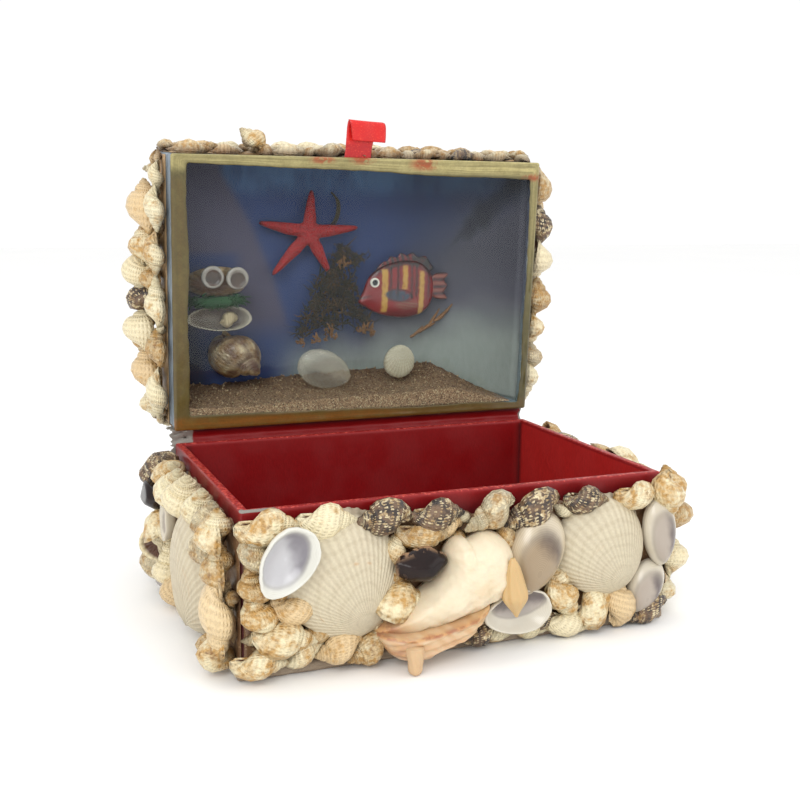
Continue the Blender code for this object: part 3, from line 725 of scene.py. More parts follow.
# Kinds of wound shell: turns, growth a turn, then the section's reach from the axis, its
# width, height and drop behind the tip, how much its foot draws in, and ribs and their size
snailKinds = {
    "nassa": (4, 1.74, 0.44, 0.6, 0.84, 1.85, 0.34, 9, 0.09),
    "whelk": (4.4, 1.62, 0.42, 0.58, 0.78, 2.2, 0.36, 9, 0.08),
    "round": (3.2, 2.15, 0.45, 0.62, 0.8, 1.3, 0.22, 0, 0),
    "tower": (5.2, 1.45, 0.36, 0.56, 0.72, 2.7, 0.34, 10, 0.03),
    "plump": (3.6, 1.95, 0.42, 0.62, 0.95, 1.75, 0.3, 0, 0),
    "nubbly": (3.8, 1.8, 0.44, 0.6, 0.82, 1.7, 0.3, 8, 0.1),
}


# A wound shell with its tip at +X: an egg-shaped section turns about the X axis, and its
# size grows by a fixed ratio each turn. The last rows fold in as the mouth.
def snailShape(kind, length, width, height, roll=180, rows=46, sides=11):
    turns, growth, reach, wide, tall, drop, drawn, ribs, ribSize = snailKinds[kind]
    share = np.linspace(0, 1, rows)
    angle = fullTurn * turns * share**0.8
    inward = np.array([(0.86, 0), (0.72, 0.22), (0.5, 0.5)])  # the mouth's size and depth
    scale = np.concatenate([np.ones(rows), inward[:, 0]])
    angle = np.concatenate([angle, angle[-1] - inward[:, 1]])
    size = growth ** ((angle - angle[rows - 1]) / fullTurn)
    lip = 1 + 0.12 * eased((share - 0.93) / 0.07)
    lip = np.concatenate([lip, np.full(3, lip[-1])]) * scale
    around = circle(sides)
    ribbing = 1 + ribSize * np.cos(ribs * angle)[:, None] * np.clip(np.cos(around), 0, 1)
    low = np.clip(-np.sin(around), 0, 1) ** 2
    out = reach + (wide * np.cos(around) * lip[:, None] * ribbing) - drawn * low
    along = -drop + tall * np.sin(around) * lip[:, None]
    turn = (angle - angle[rows - 1])[:, None] + math.radians(roll)
    radius = out * size[:, None]
    points = np.stack([along * size[:, None], radius * np.cos(turn), radius * np.sin(turn)], 2)
    tip = points[0].mean(0) + (0.25 * size[0], 0, 0)
    marks = np.concatenate([share**0.8, np.ones(3)])
    shape = gridShape(points, tip, points[-1].mean(0), marks)
    shape["hollow"] = np.concatenate([np.repeat(scale < 0.8, sides), [0, 1]]).astype(float)
    places = shape["points"]
    low, high = places.min(0), places.max(0)
    places = (places - (low + high) / 2) / (high - low) * np.array((length, width, height)) * mm
    places[:, 2] += height / 2 * mm
    shape["points"] = places
    return shape


# Colour of a small shell: how gold, how dark, how tan
snailTones = {
    "cream": (0.36, 0, 0),
    "gold": (0.54, 0, 0.05),
    "brown": (0.7, 0.22, 0.1),
    "dark": (0.45, 1, 0),
    "grey": (0.45, 0.45, 0),
    "tan": (0.3, 0, 0.9),
    "pale": (0.12, 0, 0.1),
    "ivory": (0.2, 0, 0.75),
    "ochre": (0, 0.9, 0),
}
glueTop = 1.3  # how far the bed of glue stands off a wall, in millimetres


# A small shell lying on a wall: along it, up it, turn of the tip, length, width, height
def glued(along, up, turn, length, width, height, tone, roll=180, kind="nassa", sink=0, fine=True, swell=1):
    rows, sides = (46, 11) if fine else (26, 8)
    shape = snailShape(kind, 1.07 * length, 1.09 * width, height * swell, roll, rows, sides)
    place = at(along, up, glueTop - 0.5 - sink) @ turned(turn, "z")
    seed = int(abs(along * 31 + up * 17 + length * 7))
    return placed(shape, place, snailTones[tone], seed)


# Margin of a valve about its middle: an oval whose beak end at -X is drawn out
def valveMargin(around, length, width, beak, flare=0.1):
    across = 1 + flare * np.cos(around)
    point = 1 + beak * np.exp(-(((around - np.pi) / 0.5) ** 2))
    return np.stack([length / 2 * np.cos(around) * point, width / 2 * np.sin(around) * across], -1)


# Rays of points from a middle point out to an outline
def raysTo(outline, centre, share):
    return np.asarray(centre, float) + (outline - centre)[None] * share[..., None]


# A ribbed valve, beak at -X: rays run from the beak to the margin, the height falls from
# the middle to the margin like a dome and swells again at the beak, and ribs ride on it
def cockleShape(length, width, height, ribs=30, rows=22, beak=0.07, ribSize=0.11, flare=0.26):
    columns = 4 * ribs
    around = fullTurn * (np.arange(columns) + 0.5) / columns
    margin = valveMargin(around, length, width, beak, flare)
    start = np.array((-0.42 * length, 0))
    share = np.linspace(0.04, 1, rows)[:, None]
    flat = raysTo(margin, start, share)
    far = np.hypot(flat[..., 0] / (length / 2), flat[..., 1] / (width / 2))
    far = far / np.where(share > 0.999, far[-1], 1)
    dome = np.clip(1 - np.clip(far, 0, 1) ** 2.4, 0, 1) ** 0.62
    nearBeak = np.exp(-((np.hypot(flat[..., 0] - start[0], flat[..., 1]) / (0.2 * length)) ** 2))
    fade = eased(np.abs(around - np.pi) / 0.6 - 0.15)
    ribbing = ribSize * np.cos(ribs * around) * share**0.8 * (1 - 0.35 * share) * fade
    lift = 0.9 + (height - 1.2) * (dome * 0.92 + 0.16 * nearBeak * np.sqrt(dome + 1e-9))
    top = np.dstack([flat, lift + ribbing * (0.3 + dome)])
    top[-1, :, :2] *= (1 + 0.012 * np.cos(ribs * around))[:, None]
    points = np.concatenate([top, [ringAt(margin * 0.985, 0), ringAt(margin * 0.5, 0.1)]]) * mm
    marks = np.concatenate([share[:, 0], [1, 1]])
    peak = (start[0] * mm, 0, lift[0].mean() * mm)
    return gridShape(points, peak, (0, 0, 0.1 * mm), marks)


# An open valve seen from inside: its floor rises to a rounded rim along a steepening curve,
# and its outside turns back under it. The hollow lies aside from the middle.
def bowlShape(length, width, height, rim=0.8, beak=0.06, columns=60, aside=(0, 0)):
    around = circle(columns)
    margin = valveMargin(around, length, width, beak)
    ring = np.stack([np.cos(around), np.sin(around)], 1)
    margin = margin * (1 + 0.03 * unevenness(ring, 1.3, 3) + 0.012 * unevenness(ring, 0.4, 4))[:, None]
    inner = np.linspace(0.06, 0.9, 12)
    bottom = 0.38 * height
    level = bottom + (height - bottom) * (inner / 0.93) ** 2.6 * 0.96
    outer = np.array([(0.95, height), (0.985, 0.97 * height), (1, 0.88 * height), (0.98, 0.72 * height)])
    outer = np.vstack([outer, [(0.85, 0.38 * height), (0.6, 0.1 * height), (0.3, 0)]])
    share = np.concatenate([inner, outer[:, 0]])
    level = np.concatenate([level, outer[:, 1]])
    flat = margin[None] * share[:, None, None]
    ripple = 0.35 * unevenness(ring, 0.9, 5) * np.clip(share - 0.5, 0, 1)[:, None]
    points = np.dstack([flat, level[:, None] + ripple * (level[:, None] > 0.5)]) * mm
    marks = np.concatenate([inner, np.ones(len(outer))])
    shape = gridShape(points, (0, 0, bottom * mm), (0, 0, 0), marks)
    far = np.hypot(flat[..., 0] / length * 2 - aside[0], flat[..., 1] / width * 2 - aside[1])
    hollow = eased((rim + 0.2 - far) / 0.4) * (np.arange(len(share)) < 12)[:, None]
    shape["hollow"] = np.concatenate([hollow.ravel(), [1, 0]])
    return shape


# A smooth domed valve, outside up
def capShape(length, width, height, beak=0.08, columns=40, rows=14):
    around = circle(columns)
    margin = valveMargin(around, length, width, beak)
    share = np.linspace(0.08, 1, rows)[:, None]
    start = np.array((-0.22 * length, 0))
    flat = raysTo(margin, start, share)
    lift = 0.7 + (height - 0.7) * np.clip(1 - share**2.3, 0, 1) ** 0.65 * np.ones(columns)
    points = np.concatenate([np.dstack([flat, lift]), [ringAt(margin * 0.97, 0)]]) * mm
    marks = np.concatenate([share[:, 0], [1]])
    shape = gridShape(points, (start[0] * mm, 0, height * mm), (0, 0, 0), marks)
    hollow = np.repeat(0.9 * eased((1.04 - share[:, 0]) / 0.6), columns)
    shape["hollow"] = np.concatenate([hollow, np.zeros(columns), [1, 0]])
    return shape


# A shape raised inside an outline: rays run from a middle point to the edge, the height is
# the level plus a share of the rise, and two smaller rings close it underneath
def raisedShape(outline, centre, flat, rise, height, level):
    over = np.dstack([flat, level + (height - level) * rise])
    inner = centre + (outline - centre) * 0.96
    middle = inner * 0.5 + np.array(centre) * 0.5
    under = [ringAt(inner, level * 0.3), ringAt(middle, 0)]
    return ringShape(np.concatenate([over, under]) * mm)


# A mound whose height grows with the distance from the edge like the side of an ellipse
def moundShape(outline, centre, height, reach, rows=18, level=0.5):
    flat = raysTo(outline, centre, np.linspace(0.03, 1, rows)[:, None])
    away = np.sqrt(((flat[:, :, None] - outline[None, None]) ** 2).sum(-1).min(-1))
    rise = np.sqrt(np.clip(1 - (1 - np.clip(away / reach, 0, 1)) ** 2, 0, 1))
    shape = raisedShape(outline, centre, flat, rise, height, level)
    shape["away"] = np.concatenate([away.ravel(), np.zeros(2 * len(outline)), away[0].mean()[None], [0]])
    return shape


# Shells of the base

# Along, up, turn of the tip, length, width, height, tone, then where they differ from a nassa
# with its mouth at 180: roll of the mouth, kind
frontShells = [
    (-68, 48.2, 355, 20, 12, 9, "gold", 190), (-49.5, 48.6, 352, 19, 12, 9, "cream", 170),
    (-31, 48.4, 180, 19, 11.5, 9, "dark", 200, "nubbly"),
    (-12.5, 47.6, 355, 18, 10.5, 8.5, "dark", 160, "nubbly"),
    (5.5, 46.3, 207, 19, 11, 8.5, "grey", 180, "whelk"), (21, 45.6, 200, 21, 13, 9, "dark", 165, "nubbly"),
    (42, 46.6, 350, 17, 10, 8, "dark", 190), (61.5, 46.8, 350, 16, 10, 8, "gold", 200, "round"),
    (-17.5, 41.2, 348, 19, 9.5, 8, "brown", 170, "plump"), (-25.6, 21.4, 350, 20, 12, 11, "gold", 120),
    (-72, 41, 80, 14, 10, 9, "grey", 190), (-72.5, 31.5, 96, 13, 10, 9, "brown", 180, "whelk"),
    (-71, 22, 105, 15, 11, 9, "gold", 170), (-60, 22.2, 332, 17, 10, 9, "tan", 180, "plump"),
    (-63, 13.6, 345, 21, 11, 10, "gold", 150), (-71, 5.8, 350, 18, 10, 9, "gold", 190),
    (-56.5, 7.2, 20, 14, 8, 7, "cream"), (-45.5, 8.4, 190, 16, 10, 9, "tan", 180, "plump"),
    (-36, 6.4, 200, 15, 10, 9, "brown"), (3.5, 5.2, 190, 14, 8.5, 7, "dark", 200, "nubbly"),
    (24.5, 3.6, 350, 15, 7, 5, "cream", 200, "whelk"), (35, 4.6, 335, 18, 9, 9, "pale", 180, "plump"),
    (33.5, 13.5, 300, 19, 11, 10, "gold", 170, "whelk"), (46.5, 9.6, 20, 17, 13, 9, "gold", 150),
    (56.5, 8.8, 80, 16, 12, 9, "tan", 170, "round"), (68, 5, 195, 18, 8.5, 7, "dark", 180, "nubbly"),
    (12.5, 36.8, 60, 13, 8, 6, "brown", 180, "plump"), (73.5, 46, 275, 17, 11, 10, "gold", 190),
    (73, 27.5, 268, 12, 8, 7, "gold", 180, "plump"), (-26.5, 37, 70, 12, 8, 7, "gold"),
    (-27, 29, 100, 10, 7, 6, "brown", 180, "plump"), (-52, 13.5, 170, 12, 7, 6, "brown"),
    (-30, 12.5, 160, 11, 7, 7, "gold"), (33, 21, 120, 11, 8, 6, "gold"),
    (12, 30, 80, 12, 8, 6, "grey", 180, "plump"), (27, 7, 160, 11, 7, 6, "dark", 180, "nubbly"),
    (-64, 29, 60, 12, 8, 6, "brown"), (11, 3.4, 350, 12, 6, 4.2, "cream", 200),
    (-9, 43, 185, 12, 7, 5, "tan"),
]
leftShells = [
    (-45, 43, 250, 15, 11, 10, "dark", 190, "nubbly"), (-39, 47.2, 30, 15, 10, 9, "dark", 180, "nubbly"),
    (-47, 34, 100, 13, 11, 9, "pale", 180, "round"), (-26, 46.8, 40, 15, 10, 9, "gold"),
    (-12, 45.5, 52, 18, 11, 10, "cream", 180, "whelk"), (3.5, 46.6, 58, 17, 11, 10, "pale", 190, "whelk"),
    (20, 46.6, 62, 15, 9, 8, "cream", 170), (35, 46.2, 70, 14, 9, 8, "grey"),
    (46, 45.6, 84, 15, 10, 9, "gold"), (-26.5, 28, 10, 16, 12, 11, "gold", 120),
    (-44, 23.5, 90, 15, 10, 9, "pale", 180, "plump"), (-21, 16, 92, 19, 11, 10, "pale", 180, "tower"),
    (-40, 10, 60, 17, 12, 11, "grey", 180, "round"), (-15, 6.6, 40, 15, 10, 9, "tan", 190, "plump"),
    (37.5, 38.5, 84, 16, 9.5, 9, "grey", 200, "plump"), (47, 35, 94, 15, 10, 8, "brown"),
    (45.5, 7.8, 205, 16, 11, 9, "gold"), (31, 5.2, 190, 12, 8, 7, "brown"),
]
rightShells = [
    (-46.5, 46, 62, 15, 10, 9, "gold"), (-45.5, 35, 96, 15, 11, 11.5, "brown", 170, "round"),
    (-45, 20, 80, 17, 12, 11.5, "cream"), (-45.5, 8, 110, 13, 9, 8, "cream"),
]
print("shells of the base")


# Rows of small shells for a wall that has no list of its own, leaving out those that would
# lie under a larger shell: columns and rows in millimetres, with uneven turns and sizes
def shellRows(columns, rows, length, width, height, larger=(), seed=1, weights=(3, 4, 2, 2, 1, 1, 1)):
    spread = seeded(seed)
    tones, kinds = list(snailTones)[:7], ["nassa", "whelk", "round", "plump", "nubbly", "tower"]
    shares = (0.4, 0.2, 0.1, 0.15, 0.05, 0.1)
    shells = []
    for row, up in enumerate(rows):
        for column in columns:
            along = column + (5 if row % 2 else 0) + spread.uniform(-2.4, 2.4)
            turn = spread.choice((0, 180)) + spread.uniform(-42, 42)
            size = spread.uniform(0.94, 1.12)
            tone = str(spread.choice(tones, p=np.array(weights) / sum(weights)))
            kind = "nubbly" if tone == "dark" else str(spread.choice(kinds, p=shares))
            roll = spread.uniform(150, 215) if spread.uniform() < 0.85 else spread.uniform(-40, 40)
            if all(
                math.hypot((along - big[0]) / (big[3] / 2 + 2), (up - big[1]) / (big[4] / 2 + 2)) > 1
                for big in larger
            ):
                shell = (length * size, width * size, height * size)
                shells.append((along, up + spread.uniform(-1.8, 1.8), turn, *shell, tone, roll, kind))
    return shells


# Tiny shells and chips that fill the gaps: darts thrown at the wall, kept where they miss
# every larger shell's middle and each other
def fillers(area, shells, larger=(), count=60, seed=1, size=(6, 9)):
    spread = seeded(seed)
    left, right, low, high = area
    taken = [(item[0], item[1], 0.3 * item[3], 0.3 * item[4] + 1) for item in shells]
    taken += [(item[0], item[1], 0.5 * item[3], 0.5 * item[4]) for item in larger]
    found = []
    for _ in range(count * 12):
        if len(found) == count:
            break
        along, up = spread.uniform(left, right), spread.uniform(low, high)
        if all(math.hypot((along - x) / (a + 2.2), (up - y) / (b + 2.2)) > 1 for x, y, a, b in taken):
            length = spread.uniform(*size)
            tone = str(spread.choice(["brown", "gold", "cream", "tan"]))
            found.append((along, up, spread.uniform(0, 360), length, length * 0.62, length * 0.5, tone))
            taken.append((along, up, 0.3 * length, 0.3 * length))
    return [glued(*item, sink=0.3, fine=False) for item in found]


# The glue and shell dust that the shells are set in: a thin uneven sheet with a ragged edge
def glueBed(area, seed, pale):
    left, right, low, high = area
    columns, rows = int((right - left) / 1.6), int((high - low) / 1.6)
    x, y = np.meshgrid(np.linspace(left, right, columns), np.linspace(low, high, rows))
    flat = np.stack([x, y], -1)
    inset = np.minimum.reduce([x - left, right - x, y - low, high - y])
    level = 0.35 + eased(inset / 2.5) * (0.6 + 0.4 * unevenness(flat, 9, seed))
    wave = 1.2 * unevenness(flat, 11, seed + 1) * eased(1 - inset / 5)
    flat[..., 1] += np.where(y > (low + high) / 2, wave - 0.6, 0)
    over = np.dstack([flat, np.clip(level, 0.35, None)]) * mm
    return placed(slabShape(over, over * (1, 1, 0) + (0, 0, 0.12 * mm)), still, (pale, 0, 0), seed)


# Brown glue, glossy where it pooled, with pale shell dust
def makeGlueFinish():
    newMaterial("set_glue", Roughness=0.4)
    ground(clouded(220, 3, (0.3, 0.19, 0.13), (0.58, 0.44, 0.3)))
    pale = parts(mark("tone"))[0]
    paint(pale, (0.74, 0.62, 0.46), 0.7)
    paint(patchy(1000, 0.3, 0.08), (0.74, 0.63, 0.47), 0.7)  # dust
    rough = spreadOut(noise(180), 0.3, 0.7, 0.22, 0.65)
    return finished(noise(500, 3), 0.0005, 0.6, rough)


glueFinish = makeGlueFinish()

# Larger shells: CAD node: kind of shape, along, up, turn, length, width, height, off the
# glue, then how rusty and how many ribs, or how violet, how strong the painted shade in the hollow is and
# which side it darkens
frontLarge = {
    "cockle_front_left": ("cockle", -44.6, 29.9, 118, 43, 39, 10, 0, (0.7, 44, 0)),
    "cockle_front_right": ("cockle", 49, 29.2, 120, 36, 35, 10, 0, (0.2, 40, 0)),
    "limpet_front": ("bowl", -64, 40.2, 54, 22.8, 16.4, 7.5, 5.4, (1, 0.85, 18)),
    "clam_front_upper": ("cap", 22.6, 31.4, 70, 28, 20, 7.5, 3.4, (0, 1, 40)),
    "clam_front_lower": ("bowl", 15, 13, 2, 24.4, 14.8, 6.5, 2.6, (0.5, 1, 95)),
    "clam_front_right_upper": ("cap", 71.6, 33.6, 95, 24, 13, 6, 2.2, (0.35, 0.9, 10)),
    "clam_front_right_lower": ("cap", 68, 13.6, 62, 20, 14, 6, 0.5, (0.35, 1, 0)),
}
leftLarge = {
    "cockle_left": ("cockle", 14, 25.2, 97, 46, 40, 13.5, 0, (0.3, 40, 0)),
    "clam_left_holed": ("bowl", -15, 33, 80, 14, 11, 5, 5, (0.4, 0.6, 30)),
    "clam_left_back": ("cap", -31, 8.6, 60, 15, 11, 8, 2, (0.6, 0.6, 200)),
}
rightLarge = {"cockle_right": ("cockle", 12, 27, 80, 40, 38, 10, 0, (0.5, 26, 0))}


# How far a valve's hollow lies off its middle
asides = {"limpet_front": (0, 0.08), "clam_front_lower": (0, 0.42)}


def largeShell(node, item, wall, body):
    kind, along, up, turn, length, width, height, off, tone = item
    finish = cockleFinish if kind == "cockle" else valveFinish
    if kind == "cockle":
        shape = cockleShape(length, width, height, int(tone[1]))
    elif kind == "bowl":
        shape = bowlShape(length, width, height, aside=asides.get(node, (0, 0)))
    else:
        shape = capShape(length, width, height)
    place = at(along, up, glueTop + 0.5 + off) @ turned(turn, "z")
    if kind != "cockle":
        # painted shade over one side of the hollow, towards the side given in degrees
        way = math.radians(tone[2] - turn)
        towards = shape["points"][:, 0] * math.cos(way) + shape["points"][:, 1] * math.sin(way)
        shape["shade"] = eased(0.42 + 1.5 * towards / (width * mm))
        tone = (tone[0], tone[1], 0)
    lift = shape["points"][:, 2] / (6 * mm)
    shape = placed(shape, place, tone, seedOf(node), lift)
    makeLook(node, shape, wall, finish, body)


for wall, items in ((baseFront, frontLarge), (baseLeft, leftLarge), (baseRight, rightLarge)):
    for node, item in items.items():
        largeShell(node, item, wall, "base")

# Single snails with their own CAD nodes: wall, kind, along, up, turn, length, width, height,
# off the glue, tone, roll, finish
singleSnails = {
    "snail_front_dark": (baseFront, "pebble", -19.6, 32.8, 14, 17.5, 11.5, 9, 3, "dark", 0.15, darkFinish),
    "spindle_front": (baseFront, "spindle", 10.7, 23.4, 96, 20, 8.8, 8, 8.5, "ochre", 0.09, conchFinish),
    "snail_left_dark": (baseLeft, "pebble", -34, 37.4, 10, 17, 12, 10.5, 3, "dark", 0.15, darkFinish),
    "cone_left": (baseLeft, "plump", -34, 20.4, 80, 18, 12, 13, 2, "pale", 60, snailFinish),
    "spire_left": (baseLeft, "whelk", 48, 20, 266, 33, 14, 11, 0, "ivory", 200, snailFinish),
    "spire_right": (baseRight, "whelk", -23, 26, 270, 30, 14, 14, 1.5, "gold", 180, snailFinish),
}


# A turned shape along X: a half profile of (place, radius) shares goes round the X axis,
# pressed to the width and height, with low slanting folds and shallow dents
def revolvedShape(profile, length, width, height, dent=0, seed=1, rows=44, sides=48):
    profile = smoothLine(profile, rows)
    around = circle(sides)
    x, radius = profile[:, :1], np.clip(profile[:, 1:], 0.02, None)
    dents = unevenness(joined(x * 2.2, np.cos(around), np.sin(around)), 1.6, seed)
    folds = np.sin(9 * around + 5 * x) * eased((0.5 - np.abs(x)) / 0.2)
    radius = radius * (1 + dent * dents + 0.7 * dent * folds)
    y, z = radius * width * np.cos(around), height * (0.5 + radius * np.sin(around))
    return ringShape(joined(x * length, y, z) * mm, 0.75)


# A chipped stone: in each direction its surface lies where a rounded-off set of cut planes
# stops it, stretched to the length, width and height
def chippedStone(length, width, height, seed, rows=36, sides=44):
    polar, around = np.linspace(0.03, np.pi - 0.03, rows)[:, None], circle(sides)
    way = joined(np.cos(polar), np.sin(polar) * np.cos(around), np.sin(polar) * np.sin(around))
    draws = seeded(seed)
    planes = unit(draws.normal(size=(26, 3)))
    reach = draws.uniform(0.82, 1, 26) / np.clip(way @ planes.T, 0.05, None)
    points = way * (reach**-18).sum(-1, keepdims=True) ** (-1 / 18)
    low, size = points.min((0, 1)), np.ptp(points, axis=(0, 1))
    points = ((points - low) / size - (0.5, 0.5, 0)) * (length, width, height) * mm
    return ringShape(points, 0.75)


spindle = [(0.5, 0.08), (0.36, 0.22), (0.18, 0.33), (0, 0.44), (-0.12, 0.5), (-0.22, 0.44)]
spindle += [(-0.38, 0.2), (-0.5, 0.05)]


def singleSnail(node, item, body):
    wall, kind, along, up, turn, length, width, height, off, tone, roll, finish = item
    if kind == "pebble":
        shape = chippedStone(length, width, height, seedOf(node))
    elif kind == "spindle":
        shape = revolvedShape(spindle, length, width, height, roll, seedOf(node))
    else:
        shape = snailShape(kind, length, width, height, roll, 80, 20)
    place = at(along, up, glueTop + 0.5 + off) @ turned(turn, "z")
    place = place @ turned(-42 if node == "snail_lid_front" else 0, "y")
    lift = shape["points"][:, 2] / (5 * mm)
    shape = placed(shape, place, snailTones[tone], seedOf(node), lift)
    makeLook(node, shape, wall, finish, body)


for node, item in singleSnails.items():
    singleSnail(node, item, "base")


def crustPiece(node, wall, area, shells, larger, body, seed, fillCount=50, swell=1, sink=0, pale=0):
    big = [item[1:6] for item in larger.values()]
    shapes = [glued(*item, sink=sink, swell=swell) for item in shells]
    shapes += fillers(area, shells, big, fillCount, seed)
    makePiece(node + "_small", shapes, wall, snailFinish, body, [node])
    makePiece(node + "_glue", [glueBed(area, seed, pale)], wall, glueFinish, body)


bigFront = dict(frontLarge)
bigFront["conch"] = ("", -6, 24, 25, 46, 24, 0, 0, ())
crustPiece("front_shells", baseFront, (-74.5, 74.5, 4.2, 46.5), frontShells, bigFront, "base", 3, 110, 1.1)
crustPiece("left_shells", baseLeft, (-50, 50, 4.2, 48), leftShells, leftLarge, "base", 4, 70, 1.42)
rightRows = shellRows(range(-34, 46, 14), (9, 21.5, 34, 46), 16, 10, 9, [rightLarge["cockle_right"][1:6]], 3)
rightShells += [item for item in rightRows if math.hypot((item[0] + 23) / 13, (item[1] - 26) / 20) > 1]
crustPiece("right_shells", baseRight, (-50, 50, 4.2, 48), rightShells, rightLarge, "base", 5, 60, 1.42)
backRows = shellRows(range(-68, 70, 12), (8.5, 19.5, 30.5), 16, 10.5, 8, seed=5)
crustPiece("back_shells", baseBack, (-74.5, 74.5, 4.2, 41), backRows, {}, "base", 6, 50)

# The conch

conch = {
    "body": [
        (-34, 11.6), (-30, 15.5), (-25, 19), (-20, 22.5), (-13.5, 27.6), (-11, 32), (-10.4, 36),
        (-7.5, 39.4), (-4.2, 39.6), (-2, 38.6), (3, 40.8), (8, 39.6), (11.8, 36.2), (13.6, 32.6),
        (13.2, 29.6),
        (14.2, 26.4), (13.2, 22), (9, 18), (0, 14.4), (-10, 11.8), (-20, 10), (-28, 9.8),
    ],
    "bodyMiddle": (-3, 26), "bodyTop": 14.6,
    "lip": [
        (-33.5, 11.8), (-31.8, 7.4), (-28.4, 3.6), (-24, 2), (-19, 2.6), (-14, 4.9), (-8, 6.4),
        (-3, 8.4), (0.4, 10.8), (3.4, 14.8), (4.6, 18.2), (1, 17.2), (-6, 15), (-14, 13.2), (-24, 12),
    ],
    "lipMiddle": (-14, 9.2), "lipTop": 14.4,
    "stub": (-24.2, 4.4, 11.2),
    "stubProfile": [(0.5, 0.06), (0.46, 0.24), (0.34, 0.38), (0.1, 0.44), (-0.2, 0.5), (-0.5, 0.5)],
}


# A low dome whose height falls along each ray as a rounded shoulder
def domeShape(outline, centre, height, level, power=2.6, rows=30):
    share = (np.linspace(0.03, 1, rows) ** 0.8)[:, None]
    rise = np.clip(1 - share**power, 0, 1) ** 0.55 * np.ones(len(outline))
    shape = raisedShape(outline, centre, raysTo(outline, centre, share), rise, height, level)
    shape["rise"] = np.concatenate([rise.ravel(), np.zeros(2 * len(outline)), [1, 0]])
    return shape


# The conch: a broad body, the flared lip under it and the lip's blunt end
def makeConch():
    foot = at(0, 0, glueTop + 0.5)
    edge = smoothLine(conch["body"], 220, True)
    body = domeShape(edge, conch["bodyMiddle"], conch["bodyTop"], 3)
    flat = body["points"][:, :2] / mm
    ripples = 0.6 * unevenness(flat, 12, 4) + 0.3 * unevenness(flat, 5, 5) + 0.08 * unevenness(flat, 2, 8)
    body["points"][:, 2] += ripples * np.clip(3 * body["rise"], 0, 1) * mm
    red = 0.85 * eased(1.15 - np.hypot(flat[:, 0] + 32, flat[:, 1] - 13) / 8)
    body["hollow"] = 0.6 * eased((-18 - flat[:, 0]) / 12)
    body = placed(body, foot, seed=21)
    body["marks"]["tone"][:, 0] = red
    edge = smoothLine(conch["lip"], 220, True)
    lip = domeShape(edge, conch["lipMiddle"], conch["lipTop"], 6, 4)
    flat = lip["points"][:, :2] / mm
    ridges = 0.3 * np.sin((flat[:, 1] - 0.25 * flat[:, 0]) * 2.6) + 0.35 * unevenness(flat, 4, 6)
    lip["points"][:, 2] += ridges * np.clip(3 * lip["rise"], 0, 1) * mm
    # along the lip's upper edge, where the body overlaps it, a red-brown line of painted shade
    seam = np.interp(flat[:, 0], [-33, -24, -14, -6, 1, 5], [11.6, 10.6, 11.6, 13.6, 16, 17.6])
    line = 0.8 * eased(1 - np.abs(flat[:, 1] - seam) / 0.9)
    pink = 0.5 * eased(1.1 - np.hypot((flat[:, 0] + 28) / 6, (flat[:, 1] - 7) / 4))
    lip["hollow"] = np.clip(0.85 + 0.3 * unevenness(flat, 5, 7), 0, 1)
    lip = placed(lip, foot, seed=22)
    lip["marks"]["tone"][:, 0] = np.maximum(line, pink)
    lip["marks"]["tone"][:, 1] = 0.35 * eased((flat[:, 0] + 8) / 8)
    stub = revolvedShape(conch["stubProfile"], 9.2, 5.4, 5.6, 0.06)
    stub = placed(stub, foot @ at(*conch["stub"]) @ turned(272, "z"), (0.1, 0.2, 0), 23)
    shapes = [body, lip, stub]
    makePiece("conch_look", shapes, baseFront, conchFinish, "base", ["conch_front"])


makeConch()

# Card, board and paper


# Grey-brown board with darker fibres and stains
def makeBoardFinish():
    newMaterial("grey_card", Roughness=0.9)
    opened["own"] = objectPlace()
    long = stretchedPlace(0.25, 0.25, 2)
    ground(clouded(60, 3, (0.57, 0.51, 0.44), (0.68, 0.61, 0.53)))
    paint(patchy(500, 0.5, 0.1, place=long), (0.45, 0.38, 0.32), 0.45)  # layers
    paint(patchy(40, 0.35, 0.1), (0.5, 0.38, 0.29), 0.5)  # stain
    fine = grained(1600, 0.12)
    return finished(fine, 0.0003, 0.5)


# Red covering paper: deep and slightly glossy, mottled, paler and rubbed along its edges,
# partly from wear and partly as painted highlight on the rims and the hinge paper's fold,
# with painted light on the tray's inner right wall, painted shade where the shade mark lies,
# and the grey card bare where worn reaches 1
def makePaperFinish():
    newMaterial("red_paper", Roughness=0.5, Specular_IOR_Level=0.35)
    edge = mark("edge")
    worn = mark("worn")
    ground(clouded(25, 2, (0.47, 0.045, 0.055), (0.51, 0.055, 0.07)))
    fibres = stretchedPlace(1, 1, 0.35)
    # painted light: the tray's inner right wall lighter, where tone's first part is 1
    paintedLight = parts(mark("tone"))[0]
    paint(paintedLight, (0.7, 0.15, 0.14))
    weave = grained(1400, 0.1, place=fibres)
    # paler along the edges: on the tray's rims partly worn paper and partly painted highlight, on the hinge
    # paper a painted highlight along its fold
    paint(edge, (0.64, 0.1, 0.1), 0.32)
    paint(wornAway(edge, 700, 0.42), (0.86, 0.36, 0.31), 0.65)  # rubbed
    # painted shade: dark red-brown where the shade mark lies
    shade = times(mark("shade"), 0.8)
    paint(shade, (0.16, 0.05, 0.07))
    bare = wornAway(worn, 350, 0.85)
    bare = times(bare, spreadOut(worn, 0.1, 0.5))
    paint(bare, (0.55, 0.53, 0.5))
    rough = spreadOut(noise(80, 2), 0.3, 0.7, 0.36, 0.55)
    return finished(weave, 0.00015, 0.4, rough)


boardFinish, paperFinish = makeBoardFinish(), makePaperFinish()


